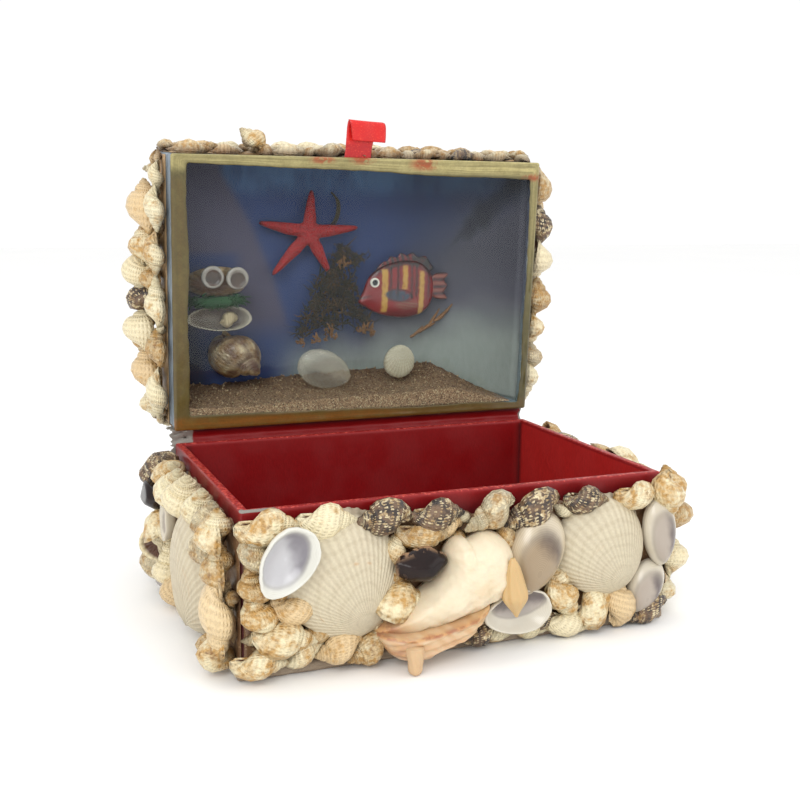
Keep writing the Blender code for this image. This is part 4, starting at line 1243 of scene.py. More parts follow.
# Points round a rectangle with rounded corners, the same number along each side
def roundedRectangle(low, high, radius, along=40, corner=5):
    left, bottom, right, top = *(low[:2] + radius), *(high[:2] - radius)
    arcs = []
    for x, y, start in ((right, bottom, -90), (right, top, 0), (left, top, 90), (left, bottom, 180)):
        angle = np.radians(start + 90 * np.arange(corner) / (corner - 1))
        arcs.append(np.stack([x + radius * np.cos(angle), y + radius * np.sin(angle)], 1))
    loop = []
    for index, arc in enumerate(arcs):
        after = arcs[(index + 1) % 4][0]
        share = np.arange(1, along)[:, None] / along
        loop += [arc, arc[-1] + (after - arc[-1]) * share]
    return np.concatenate(loop)


# A tray swept round its rectangle: each row of the profile is an inset from the outside and
# a level, and the last row closes over the floor
def trayShape(low, high, profile, radius, wobble=0.15, seed=1, along=40):
    rows = []
    for inset, level in profile:
        inset = inset * mm
        corner = max(radius * mm - inset * 0.7, 0.15 * mm)
        rows.append(ringAt(roundedRectangle(low[:2] + inset, high[:2] - inset, corner, along), level))
    points = np.array(rows)
    shift = unevenness(points / mm, 30, seed)[..., None] * wobble * mm
    outwards = unit(points - points.mean((0, 1)))
    return points + shift * outwards * (0.6, 0.6, 1)


def insideFloor(points, level):
    middle = points[-1].mean(0)
    shrink = np.array([0.97, 0.85, 0.6, 0.3])[:, None, None]
    rings = middle + (points[-1] - middle) * shrink
    rings[..., 2] = level
    return np.concatenate([points, rings])


# An open tray with walls and a floor of its own thickness, its rim marked as its edge
def openTray(low, high, wall, floor, seed):
    foot, top = low[2], high[2]
    levels = np.linspace(0.03, 0.97, 8)
    profile = [(2, foot), (0.5, foot), (0.1, foot + 0.4 * mm)]
    profile += [(0, foot + (top - foot) * share) for share in levels]
    profile += [(0, top - 0.7 * mm), (0.15, top - 0.3 * mm), (0.5, top - 0.05 * mm), (1, top)]
    profile += [(wall - 1, top), (wall - 0.5, top - 0.05 * mm), (wall - 0.15, top - 0.3 * mm)]
    profile += [(wall, top - 0.8 * mm)]
    inner = foot + floor * mm
    profile += [(wall, top - (top - inner) * share) for share in levels]
    profile += [(wall + 0.15, inner + 0.25 * mm), (wall + 0.6, inner)]
    points = insideFloor(trayShape(low, high, profile, 0.9, 0.12, 2), inner)
    middle = (low + high) / 2
    outside = points[:1] * (0.5, 0.5, 1) + middle * (0.5, 0.5, 0)
    points = np.concatenate([outside, points])
    shape = gridShape(points, (middle[0], middle[1], foot), (middle[0], middle[1], inner))
    shape = placed(shape, seed=seed)
    shape["marks"]["edge"] = np.clip(1 - (top - shape["points"][:, 2]) / (2.2 * mm), 0, 1) ** 1.5
    return shape


def makeBaseTray():
    shape = openTray(trayLow, trayHigh, 3, 2, 31)
    places = shape["points"]
    along, up = (places[:, 0] + side) / mm, (trayHigh[2] - places[:, 2]) / mm
    atFront = eased((1.6 - (places[:, 1] - trayLow[1]) / mm) / 0.5)
    shape["marks"]["worn"] = 1.1 * eased((13 - along) / 4) * eased((0.75 - up) / 0.5) * atFront
    toSide, toEnd = side / mm - np.abs(places[:, 0]) / mm, trayHigh[1] / mm - np.abs(places[:, 1]) / mm
    # painted shade down the inner corners, and the outside darker below the rim where it shows between the
    # shells
    inCorner = eased((4.3 - toSide) / 0.9) * eased((4.3 - toEnd) / 0.9) * (np.minimum(toSide, toEnd) > 2.4)
    outside = (np.minimum(toSide, toEnd) < 0.5) * eased((up - 5) / 4)
    shape["marks"]["shade"] = np.maximum(inCorner, outside) * (up > 1)
    # the inner face of the right wall is marked for painted light: lighter red
    shape["marks"]["tone"][:, 0] = (toSide > 2.4) * (toSide < 3.4) * (places[:, 0] > 0) * (up > 1)
    makeLook("base_tray", shape, still, paperFinish, "base")


# The bottom board: a slab with crushed edges that wander in and out
def makeBoard():
    thick = boardHigh[2] - boardLow[2]
    profile = [(3, 0), (0.5, 0), (0.12, 0.12 * thick), (0, 0.4 * thick), (0.05, 0.7 * thick)]
    profile += [(0.3, 0.95 * thick), (0.8, thick), (6, thick)]
    points = trayShape(boardLow, boardHigh, profile, 1.6, 0, 6, 60)
    shift = 0.35 * unevenness(points / mm, 7, 8)[..., None] * mm
    points[1:-1, :, :2] -= np.abs(shift[1:-1]) * np.sign(points[1:-1, :, :2])
    shape = gridShape(points, (0, 0, 0), (0, 0, thick))
    shape = placed(shape, seed=32)
    makeLook("bottom_board", shape, still, boardFinish, "base")


print("tray and board")
makeBaseTray()
makeBoard()

# The lid: painted card, shells, window, tape, ribbon and hinge paper


# Painted card: pale blue-grey outside, scratched and spotted with rust, and deep blue inside, turning lilac
# and teal towards the right, partly a painted reflection of the window
def makePaintedFinish():
    newMaterial("painted_card", Roughness=0.6)
    drawnOut = stretchedPlace(1, 0.25, 1)
    ground(clouded(35, 3, (0.43, 0.49, 0.54), (0.6, 0.64, 0.67)))
    paint(patchy(520, 0.4, 0.04, place=drawnOut), (0.27, 0.29, 0.34), 0.6)  # scratches
    paint(patchy(300, 0.24, 0.05), (0.47, 0.31, 0.21), 0.8)  # rust
    paint(wornAway(mark("edge"), 420, 0.5), (0.8, 0.76, 0.68), 0.7)  # worn
    # inside: deep blue, with lilac and teal towards the right wall, partly painted reflection of the window
    blue = clouded(40, 3, (0.17, 0.23, 0.35), (0.23, 0.3, 0.42))
    blue = mixed(mark("lilac"), blue, (0.31, 0.32, 0.38))
    blue = mixed(mark("teal"), blue, (0.42, 0.47, 0.48))
    paint(mark("inside"), blue)
    fine = grained(1200, 0.14)
    return finished(fine, 0.0002, 0.5)


def makeLidTray():
    low, high = np.array((-side, 0, -roofThick)), np.array((side, lidLength * mm, rimLevel * mm))
    shape = openTray(low, high, 3, 2, 12)
    x, up, out = placesOf(shape)
    inset = np.minimum(side / mm - np.abs(x), np.minimum(up, lidLength - up))
    marks = shape["marks"]
    marks["inside"] = ((inset > 2.5) & (out > -0.5)).astype(float)
    # lilac and teal on the inside right wall, partly painted reflection of the window, as on the card
    marks["lilac"] = eased((x - 60) / 8)
    marks["teal"] = marks["lilac"] * eased((58 - up) / 40)
    sceneLook("lid_tray", shape, makePaintedFinish())


print("lid")
makeLidTray()

# The same for the lid, up from its rim
lidLeftShells = [
    (32, 8.4, 188, 18, 10.5, 8, "cream", 205), (15.5, 8.6, 172, 17, 10.5, 8.5, "gold", 205),
    (-3, 8.4, 6, 19, 10, 8.5, "cream", 205, "whelk"), (-21, 8.4, 15, 15, 10, 8.5, "brown", 205, "nubbly"),
    (-38, 8.2, 176, 20, 10.5, 8.5, "cream", 205), (31, 20, 8, 21, 13, 12.5, "tan", 205, "plump"),
    (17, 20, 20, 17, 12, 12, "gold", 205), (-3.5, 23.5, 80, 15, 12, 13, "dark", 200, "nubbly"),
    (-31, 19.5, 10, 19, 12, 12, "tan", 205), (43.5, 10, 172, 11, 7, 6, "pale", 205),
    (-45, 21, 30, 12, 9, 9, "cream", 200), (-20, 26, 170, 15, 9, 11, "gold", 200),
    (5, 15, 20, 13, 9, 9, "brown", 200),
]
lidRightShells = [
    (-41, 8.5, 8, 17, 11, 10, "brown", 205, "round"), (-24.5, 9, 172, 20, 11, 11, "dark", 205, "nubbly"),
    (-10, 8.5, 15, 19, 11.5, 11.5, "pale", 205), (6, 9, 188, 19, 12, 12, "brown", 205),
    (20, 9, 10, 17, 11, 11, "gold", 205, "whelk"), (31.5, 9, 170, 15, 10.5, 10, "grey", 205),
    (42, 8.5, 4, 18, 10, 9.5, "cream", 205, "whelk"), (-33, 20, 190, 15, 10, 12, "gold", 205),
    (-17, 21, 0, 15, 10, 12, "tan", 205, "plump"), (-1, 20.5, 175, 15, 10, 12.5, "cream", 205),
    (13, 21, 5, 14, 10, 12, "gold", 205), (27, 21, 185, 14, 10, 11.5, "cream", 205, "whelk"),
    (39, 22, 0, 13, 9, 10, "grey", 205), (-45, 22, 20, 11, 8, 8, "cream", 205),
]
lidFrontShells = [
    (-67, 4.8, 5, 17, 9, 5.2, "gold", 200), (-29, 4.8, 0, 15, 8, 5, "cream", 200),
    (-12.5, 4.8, 182, 15, 8, 5.6, "grey", 200, "nubbly"), (11.5, 4.8, 0, 13, 7.5, 5, "gold", 200),
    (26.5, 4.8, 178, 12, 7.5, 4.4, "gold", 200), (43, 4.8, 4, 14, 8, 5, "dark", 200, "nubbly"),
    (58.5, 4.8, 182, 14, 7.5, 4.6, "cream", 200), (-1, 4.8, 90, 9, 4.8, 4.2, "tan", 200),
    (70, 4.8, 80, 9, 6, 3.6, "cream", 200), (-54, 4.8, 10, 12, 4.8, 4.2, "tan", 200),
    (20, 6, 30, 9, 6, 3.8, "cream", 200), (35, 6, 150, 9, 6, 3.6, "gold", 200),
    (50.5, 6, 20, 9, 6, 3.8, "gold", 200), (-38, 6, 30, 9, 6, 4.2, "brown", 200),
    (-21, 6, 160, 9, 6, 4, "gold", 200), (4.5, 6, 20, 9, 6, 3.8, "gold", 200),
]
lidLeftLarge = {
    "snail_lid_left_upper": (lidLeft, "round", 8, 21, 170, 17, 12, 13, 0.8, "pale", 200, snailFinish),
    "snail_lid_left_lower": (lidLeft, "round", -16, 20.5, 10, 17, 12, 13, 0.8, "pale", 200, snailFinish),
}
lidFrontLarge = {
    "snail_lid_front": (lidFront, "nassa", -45, 8, 170, 14, 9.5, 8.5, 0.6, "gold", 200, snailFinish),
}
lidTopLarge = {
    "cockle_top_centre": ("cockle", 0, -3, 90, 46, 44, 12, 0, (0.8, 32, 0)),
    "cockle_top_left": ("cockle", -46, -2, 115, 34, 32, 9, 0, (0.4, 26, 0)),
    "cockle_top_right": ("cockle", 46, -2, 65, 34, 32, 9, 0, (0.6, 26, 0)),
}


def makeLidShells():
    for node, item in {**lidLeftLarge, **lidFrontLarge}.items():
        singleSnail(node, item, "lid")
    for node, item in lidTopLarge.items():
        largeShell(node, item, lidTop, "lid")
    leftTaken = {node: item[1:] for node, item in lidLeftLarge.items()}
    area = (-51, 51, 10, 29.7)
    crustPiece("lid_left_shells", lidLeft, area, lidLeftShells, leftTaken, "lid", 7, 18, pale=1)
    crustPiece("lid_right_shells", lidRight, area, lidRightShells, {}, "lid", 8, 30, 1.1, pale=1)
    middleRow = shellRows(range(-66, 74, 13), (13.4,), 13, 7.5, 4.2, seed=12, weights=(4, 3, 2, 1, 0, 2, 2))
    upperRow = shellRows(range(-66, 70, 13), (22.5,), 15, 9, 5, seed=9, weights=(4, 3, 1, 0, 1, 2, 2))
    frontTaken = {"snail": ("", -46, 10, 20, 13, 10)}
    rows = lidFrontShells + middleRow + upperRow
    area = (-73, 74.5, 8, 29.5)
    crustPiece("lid_front_shells", lidFront, area, rows, frontTaken, "lid", 9, 50, 1.15, 1.7, 1)
    backRow = shellRows(range(-68, 70, 12), (19,), 15, 10, 6, seed=10)
    crustPiece("lid_back_shells", lidBack, (-74.5, 74.5, 9, 29.5), backRow, {}, "lid", 10, 30)
    big = [item[1:6] for item in lidTopLarge.values()]
    topRows = shellRows(range(-70, 70, 13), (-45, -33, -21, -8, 4, 16, 29, 41), 16, 11, 7.5, big, seed=11)
    crustPiece("lid_top_shells", lidTop, (-74.5, 74.5, -51, 51), topRows, lidTopLarge, "lid", 11, 90)


makeLidShells()


# Even rows and columns of places over a rectangle
def flatGrid(left, right, low, high, step):
    columns, rows = int((right - left) / step), int((high - low) / step)
    return np.meshgrid(np.linspace(left, right, columns), np.linspace(low, high, rows))


# Clear plastic, finely scratched. Lamps shine through it, so that what lies behind is lit.
def makeWindowFinish():
    newMaterial(
        "clear_plastic", Transmission_Weight=1, IOR=1.22, Base_Color=tint(0.96, 0.98, 0.98),
    )
    place = stretchedPlace(1, 0.12, 1)
    scratches = patchy(900, 0.2, 0.03, place)
    feed(spreadOut(scratches, 0, 1, 0, 0.02), opened["shader"]["Roughness"])
    clear = addNode("BsdfTransparent", {0: tint(0.96, 0.98, 0.98)}).outputs[0]
    isShadow = addNode("LightPath").outputs["Is Shadow Ray"]
    nodes = opened["tree"].nodes
    surface = nodes["Principled BSDF"].outputs[0]
    both = addNode("MixShader", {0: isShadow, 1: surface, 2: clear}).outputs[0]
    feed(both, nodes["Material Output"].inputs["Surface"])
    return opened["material"]


def makeWindow():
    x, up = flatGrid(-74.6, 74.6, 0.4, lidLength - 0.4, 3)
    middle = eased((74 - np.abs(x)) / 25) * eased((lidLength / 2 - 0.5 - np.abs(up - lidLength / 2)) / 25)
    bulge = middle * (0.25 + 0.12 * unevenness((x, up), 60, 3))
    over = np.dstack([x, up, rimLevel + 0.55 + bulge]) * mm
    shape = placed(slabShape(over, over - (0, 0, 0.22 * mm)), seed=41)
    sceneLook("lid_window", shape, makeWindowFinish())


# Shiny tape: olive, paler where pale is 1, partly a painted highlight along the top fold and the right strip,
# amber where golden is 1, rusty in two spots
def makeTapeFinish():
    newMaterial("olive_tape", Roughness=0.4, Coat_Weight=0.2, Coat_Roughness=0.25)
    ground(clouded(70, 3, (0.24, 0.22, 0.08), (0.34, 0.31, 0.145)))
    pale = clouded(90, 3, (0.76, 0.71, 0.49), (0.66, 0.61, 0.38))
    # paler where pale is 1: partly painted highlight
    paint(mark("pale"), pale)
    paint(mark("golden"), (0.5, 0.31, 0.08))
    run, out = surfaceMap()[:2]  # round the frame, and out to in across the strip
    lines = plus(times(out, 26), noise(60, 2))
    lines = addNode("CombineXYZ", {0: times(run, 24), 1: lines}).outputs[0]
    lines = spreadOut(noise(1, 3, lines, 0.6), 0.4, 0.68)
    paint(lines, (0.3, 0.27, 0.1), 0.5)
    paint(patchy(240, 0.4, 0.15), (0.42, 0.38, 0.18), 0.35)  # dirt
    spots = patchy(420, 0.6, 0.08)
    rust = times(mark("rust"), spots)
    paint(rust, (0.6, 0.28, 0.1))
    paint(mark("edge"), (0.3, 0.27, 0.12), 0.6)
    grained(1500, 0.12)
    return finished(noise(260, 4), 0.0003, 0.5)


# The tape frame: strips run from the outer rectangle, folded a little over the lid's edge,
# to a wandering inner rectangle
def makeTape():
    outer = roundedRectangle(np.array((-side / mm, 0)), np.array((side / mm, lidLength)), 0.9, 70)
    inner = roundedRectangle(np.array((-69.5, 4.6)), np.array((70.8, lidLength - 4.2)), 1, 70)
    across = (inner[:, 0] + 69.5) / 140.3
    inner[:, 1] += np.where(inner[:, 1] > 50, 1.2 - 3.8 * across, 1 - 2.6 * across)
    wander = unevenness(inner, 45, 6) * 0.6 + unevenness(inner, 8, 7) * 0.22
    middle = inner.mean(0)
    towards = (inner - middle) / np.abs(inner - middle).max(1, keepdims=True)
    inner = inner + towards * wander[:, None]
    inner[:, 0] += np.where(inner[:, 0] > 60, 1.3 * np.sin(np.pi * inner[:, 1] / lidLength), 0)
    away = unit(outer - middle)
    rows = []
    section = [(-0.22, -0.5), (-0.26, 0.2), (-0.15, 0.8), (0.4, 1.15), (1.2, 1.2)]
    for inset, level in section:
        rows.append(ringAt(outer - away * inset, rimLevel + level))
    for share in (0.4, 0.6, 0.8, 0.92):
        flat = outer + (inner - outer) * share
        wrinkle = 0.12 * unevenness(flat, 7, 9) + 0.1 * unevenness(flat, 20, 10)
        rows.append(np.c_[flat, rimLevel + 1.15 + wrinkle])
    for share, level in ((1, 1.05), (1, 0.95), (0.5, 0.95), (0.05, 0.95)):
        rows.append(ringAt(outer + (inner - outer) * share, rimLevel + level))
    rows.append(ringAt(outer + away * 0.08, rimLevel - 0.5))
    ring = gridShape(np.array(rows) * mm)
    columns = len(outer)
    first = np.arange(columns)
    after = (first + 1) % columns
    last = (len(rows) - 1) * columns
    closing = np.stack([last + first, last + after, after, first], 1)
    ring["quads"] = np.vstack([ring["quads"], closing])
    ring["quadMap"] = np.vstack([ring["quadMap"], ring["quadMap"][:columns]])
    shape = placed(facingOut(ring), seed=42)
    x, up, _ = placesOf(shape)
    marks = shape["marks"]
    top, right = eased((up - lidLength + 7) / 3), eased((x - 70) / 2) * eased((up - 30) / 60)
    # paler along the top, where the tape folds over the edge, and down the right strip: partly painted
    # highlight
    marks["pale"] = np.clip(top * (0.75 + 0.25 * eased((x + 30) / 80)) + 0.6 * right, 0, 1)
    marks["golden"] = eased((6 - up) / 3) * (0.3 + 0.7 * eased((45 - x) / 60))
    marks["golden"] += 0.18 * eased((-66 - x) / 2) * eased((98 - up) / 6)
    spots = [(-18, 102.2, 4, 1.2), (24, 101.4, 5, 2), (-2, 102.4, 4, 1.2), (72, 97, 4, 1)]
    near = [np.hypot((x - spot[0]) / spot[2], (up - spot[1]) / spot[3]) for spot in spots]
    marks["rust"] = np.max([eased(1.6 - far) for far in near], axis=0)
    edge = np.zeros((len(rows), columns))
    edge[4:11] = np.array([0.55, 0, 0.1, 0.45, 0.85, 1, 1])[:, None]
    marks["edge"] = edge.ravel()
    sceneLook("window_tape", shape, makeTapeFinish())


# Red satin: bright, with orange glints along its threads; edge darkens the stem
def makeRibbonFinish():
    newMaterial("red_satin", Roughness=0.38, Sheen_Weight=0.2, Sheen_Roughness=0.4)
    ground(clouded(150, 3, (0.74, 0.035, 0.045), (0.86, 0.08, 0.07)))
    paint(mark("edge"), (0.68, 0.04, 0.07))
    threads = stretchedPlace(0.7, 1, 1)
    paint(patchy(2200, 0.36, 0.06, place=threads), (1, 0.38, 0.22), 0.3)  # glints
    return finished(noise(1200, 3, place=threads), 0.0002, 0.5)


# The pull ribbon: one strip stands up off the lid's edge, folds over and comes down in front
def makeRibbon():
    middle = smoothLine([(-3.5, 99.5, -0.3), (-3.4, 104, -0.2), (-2.6, 110, -0.4), (-1.6, 115.8, -0.4),
                         (-0.6, 117, 0.5), (0, 115.6, 1.5), (0.4, 112, 1.5), (0.6, 109.4, 1.2)], 40)
    share = np.linspace(0, 1, 40)[:, None]
    across = np.linspace(-1, 1, 14)[None]
    half = np.interp(share, [0, 0.2, 0.5, 0.6, 1], [5.5, 5.3, 6.4, 7.3, 6.6])
    lean = np.interp(share, [0, 0.5, 0.62, 1], [0, -0.02, -0.08, -0.05])
    x = middle[:, :1] + half * across
    up = middle[:, 1:2] + half * across * lean
    folds = 0.18 * np.sin(across * 5 + share * 4) + 0.15 * unevenness((x, up), 9, 5)
    out = rimLevel - 0.6 + middle[:, 2:] + folds * eased((share - 0.1) / 0.3)
    over = np.dstack([x, up, out]) * mm
    way = unit(np.cross(np.gradient(over, axis=0), np.gradient(over, axis=1)))
    shape = placed(slabShape(over, over - way * 0.28 * mm), seed=43)
    up = shape["points"][:, 1] / mm
    shape["marks"]["edge"] = eased((109.5 - up) / 2)
    ribbon = sceneLook("pull_ribbon", shape, makeRibbonFinish())


# Paper across the hinge: up the back wall, over to the lid's edge and along the lid's back.
# Its left end is torn and crumpled.
def makeHingePaper():
    rim = np.array([(0, lidHigh[1] + 0.4 * mm, lidLow[2] + up * mm) for up in (0.6, 3, 7)])
    rim = carried(rim, openLid)[:, 1:] / mm
    back = trayHigh[1] / mm + 0.45
    line = [(back, 38), (back, 45), (back, 50), (back + 0.25, 52.4), (back + 1.6, 54.6), *rim]
    profile = smoothLine(line, 34)
    x, share = np.meshgrid(np.linspace(-76.5, 74, 150), np.linspace(0, 1, 34))
    torn = eased((-67.5 - x) / 2.5)
    y, up = profile[:, :1], profile[:, 1:]
    free = eased((share - 0.42) / 0.15) * eased((0.95 - share) / 0.15)
    flat = np.stack([x, share * 30], -1)
    crumple = unevenness(flat, 5, 3) * torn * 0.7 + unevenness(flat, 14, 4) * 0.22
    y = y - crumple * free - torn * free * 0.8
    up = up + (crumple + torn * 0.6) * free
    ragged = np.where(x < -70, 1.4 * unevenness(flat, 3, 5), 0)
    over = joined(x + ragged, y, up) * mm
    way = unit(np.cross(np.gradient(over, axis=1), np.gradient(over, axis=0)))
    shape = placed(slabShape(over, over + way * 0.25 * mm), seed=44)
    x, _, up = placesOf(shape)
    marks = shape["marks"]
    marks["worn"] = np.maximum(eased((-67 - x) / 3), 0.7 * eased((x - 72.5) / 1.5)) * 1.2
    # painted highlight along the hinge paper's fold
    marks["edge"] = 0.5 * eased(1 - np.abs(up - 54.6) / 1.2)
    # painted shadow on the hinge paper under the lid's edge
    marks["shade"] = eased((up - 55.8) / 1.5) * (marks["worn"] < 0.1)
    paper = makeLook("hinge_paper", shape, still, paperFinish, None)
    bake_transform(paper)


print("window, tape, ribbon and hinge")
makeWindow()
makeTape()
makeRibbon()
makeHingePaper()

# The little sea scene behind the window

sandTop = [(-71.4, 12), (-50, 11), (-28, 13), (0, 14), (20, 14.5), (40, 16.5), (50, 12), (60, 7), (68, 3.9)]


# A soft-edged stripe: 1 within half of the middle
def stripe(value, middle, half, soft=0.6):
    return eased((half - np.abs(value - middle)) / soft + 0.5)


# Painted card: deep blue, streaked with light at its top, with broad areas that the marks carry:
# haze, lilac and teal, partly painted reflections of the window and partly the card's own paint,
# and painted shade
def makeSceneCardFinish():
    newMaterial("blue_card", Roughness=0.7)
    ground(clouded(28, 3, (0.105, 0.17, 0.34), (0.15, 0.23, 0.41)))
    streaks = stretchedPlace(1, 0.35, 1)
    light = patchy(90, 0.6, 0.2, place=streaks)
    light = times(light, mark("glow"))
    paint(light, (0.29, 0.42, 0.57), 0.75)
    # painted reflections of the window in purple-grey, lilac and teal, partly the card's own paint, and
    # painted shade
    broad = {
        "haze": (0.28, 0.255, 0.325), "lilac": (0.31, 0.29, 0.325),
        "teal": (0.52, 0.535, 0.51), "shade": (0.08, 0.08, 0.12),
    }
    for name, shadeColour in broad.items():
        paint(mark(name), shadeColour)
    brushed = grained(700, 0.07, place=streaks)
    return finished(brushed, 0.0001, 0.25)


# The card lies flat on the left and curves forward to the window at its right end
def makeSceneCard():
    x, up = flatGrid(-71.9, 71.9, 3.1, 99.9, 1.6)
    bend = np.clip((x - 34) / 37.9, 0, 1)
    rise = 25.5 * (1 - np.sqrt(1 - 0.97 * bend**2)) / 0.827
    rise = rise + 0.3 * unevenness((x, up), 40, 5) * (1 - bend)
    over = np.dstack([x, up, 0.9 + rise]) * mm
    shape = slabShape(over, over - (0, 0, 0.4 * mm))
    x, up, _ = placesOf(shape)
    beyond = ((x - 48) * 32 - (up - 64) * 24) / 40
    shape = placed(shape, seed=51)
    wave = 2 * unevenness((x, up), 24, 8)
    edge = np.interp(up, [32, 54, 75, 96], [-22, -29, -38, -50.5])
    gap = 1 - 0.8 * stripe(up, 60, 4, 4) * eased((-40 - x) / 8)
    marks = shape["marks"]
    marks["glow"] = eased((up - 84) / 10) * eased((x + 62) / 20)
    # partly painted reflection of the window: a purple-grey veil over the left part
    marks["haze"] = 0.95 * eased((edge - x) / 4 + 0.5) * eased((up - 26) / 14) * gap
    # lilac to the right: partly painted reflection of the window
    marks["lilac"] = 0.9 * eased(((x - 14) * 0.62 + (62 - up) * 0.6 + wave) / 26) * eased((x + 20) / 18)
    # painted shade over the upper right
    upperRightShade = 0.36 * eased((x - 14) / 24) * eased((up - 40) / 26)
    # teal below: partly painted reflection of the window
    marks["teal"] = eased((36 - up + 0.28 * np.clip(x - 10, 0, 50) + wave) / 26) * eased((x + 33) / 22)
    # painted shadow in the fold from the top right corner, a dark spot of painted shade beside it and a
    # painted shadow in the lower left corner
    creaseShadow = 1 - np.abs(beyond + 1.5 * unevenness((x, up), 9, 9)) / (2.5 + 8 * eased((up - 60) / 30))
    spot = 1.3 - np.hypot((x - 60) / 5, (up - 80) / 9)
    corner = eased((16 - np.hypot((x + 70) * 0.8, (up - 16) * 0.45)) / 9)
    creaseShadow = 0.8 * eased(creaseShadow) * eased((up - 50) / 25)
    marks["shade"] = np.maximum.reduce([creaseShadow, 0.85 * eased(spot), 0.75 * corner, upperRightShade])
    sceneLook("scene_card", shape, makeSceneCardFinish())


# Sand of many colours: each grain is a cell with a shade of its own
def makeSandFinish():
    newMaterial("speckled_sand", Roughness=0.85)
    cells = cellsOf(2600)
    shade = parts(cells["Color"])
    ground(mixed(shade[0], (0.47, 0.35, 0.26), (0.67, 0.55, 0.42)))
    paint(spreadOut(shade[1], 0.84, 0.92, 0, 0.7), (0.8, 0.73, 0.58))
    paint(spreadOut(shade[2], 0.82, 0.92, 0, 0.8), (0.22, 0.15, 0.12))
    # painted shade: the slope darker towards the back, deeper in the lid, than the face against the window
    darken(mark("edge"), (0.52, 0.42, 0.38))
    return finished(cells["Distance"], 0.0003, 0.5)


# The sand's section: along the bottom, up the back, down a bumpy slope and down the front
def makeSand():
    low, depth = 3.2, (1.3, 27.7)
    x = np.linspace(-71.4, 68, 200)[:, None]
    full = np.interp(x, *np.array(sandTop).T) - low + 0.3 * unevenness(x, 6, 4)[:, None]
    share = np.linspace(0, 1, 22)[None]
    out = depth[0] + (depth[1] - depth[0]) * share
    flat = np.stack(np.broadcast_arrays(x, out), -1)
    bumps = 0.4 * unevenness(flat, 7, 5) + 0.25 * unevenness(flat, 2.4, 6)
    slope = low + np.clip(full * (1 - 0.45 * eased(share)) + bumps * np.clip(full / 4, 0, 1), 0.15, None)
    top = joined(x, slope, out)
    down = np.linspace(0.85, 0, 7)[None]
    dents = 0.12 * unevenness(tuple(np.broadcast_arrays(x, 9 * down)), 2, 7)
    front = joined(x, low + (slope[:, -1:] - low) * down, depth[1] + dents)
    back = joined(x, low, np.linspace(depth[1] - 2, depth[0], 6)[None])
    points = np.concatenate([top, front, back], 1) * mm
    shape = gridShape(points, points[0].mean(0), points[-1].mean(0))
    shapes = [placed(shape, seed=52)]
    # how much painted shade each row of the slope takes: most at the back
    darker = np.concatenate([0.8 - 0.5 * share[0], np.zeros(7), np.zeros(6)])
    shapes[0]["marks"]["edge"] = np.concatenate([np.tile(darker, len(x)), [0, 0]])
    spread = seeded(12)
    wide, around = np.array([[0.8], [0.9]]), circle(5)
    ball = joined(wide * np.cos(around), wide * np.sin(around), np.array([[-0.5], [0.4]]))
    for _ in range(420):  # loose grains on the slope
        row, column = spread.integers(2, 190), spread.integers(0, 21)
        size = spread.uniform(0.25, 0.62, 3) * mm
        grainShape = gridShape(ball * size, (0, 0, -size[2]), (0, 0, size[2]))
        tilt = turned(spread.uniform(0, 360), "z") @ turned(spread.uniform(0, 360), "x")
        place = moved(*(top[row, column] * mm + (0, 0.15 * mm, 0))) @ tilt
        shapes.append(placed(grainShape, place, seed=int(spread.integers(1 << 30))))
        shapes[-1]["marks"]["edge"] = np.zeros(len(shapes[-1]["points"]))
    makePiece("sand_look", shapes, inScene, makeSandFinish(), "lid", ["sand_bed"])


# A tube along a line: round sections square to it, closed at both ends
def tubeShape(line, radii, sides=4):
    way = np.gradient(line, axis=0)
    way /= np.linalg.norm(way, axis=1, keepdims=True) + 1e-12
    across = unit(np.cross(way, (0.12, 0.2, 1)))
    beside = np.cross(way, across)
    around = circle(sides)
    ring = across[:, None] * np.cos(around)[:, None] + beside[:, None] * np.sin(around)[:, None]
    points = (line[:, None] + ring * np.asarray(radii)[:, None, None]) * mm
    return gridShape(points, line[0] * mm, line[-1] * mm)


# Dry weed and moss: dark brown, orange where the first tone is 1, green where the second is
def makeWeedFinish():
    newMaterial("dry_weed", Roughness=0.85)
    tone = parts(mark("tone"))
    ground(clouded(300, 2, (0.08, 0.07, 0.06), (0.24, 0.19, 0.15)))
    orange = clouded(250, 2, (0.42, 0.27, 0.15), (0.64, 0.45, 0.28))
    paint(tone[0], orange)
    green = clouded(350, 2, (0.07, 0.19, 0.09), (0.15, 0.34, 0.17))
    paint(tone[1], green)
    return finished(noise(900, 2), 0.0002, 0.5)


weedFinish = makeWeedFinish()
weed = {
    "stems": 9, "foot": (-13, 4, 32, 40), "top": (-9, 0, 52, 64),
    "clumps": [
        (-1, 64.5, 3.4, 90), (4.5, 61, 3, 50), (-3, 57, 4.2, 110), (-8, 51, 4.6, 110), (2, 50, 4.6, 110),
        (-11, 44, 4.6, 110), (-2, 43, 5, 120), (5, 40, 4, 70), (-14, 37, 4, 70), (-6, 36, 4.4, 90),
        (10, 35.5, 3, 36), (-18, 32, 2.6, 30),
    ],
    "tufts": [
        (-1.5, 60.5, 3), (-5.5, 31, 3.6), (-12.5, 29, 2.6), (8, 32, 2.8), (12.5, 31, 3.2), (-19, 28, 2.2),
    ],
    "twig": [(31, 28, 4), (36, 31, 5), (41, 35, 5), (47, 37.5, 4)],
    "darkTwig": [(-5.6, 88.4, 4), (-3.4, 86, 4), (-2.8, 82, 4), (-3.4, 78, 3), (-5, 75, 2)],
}


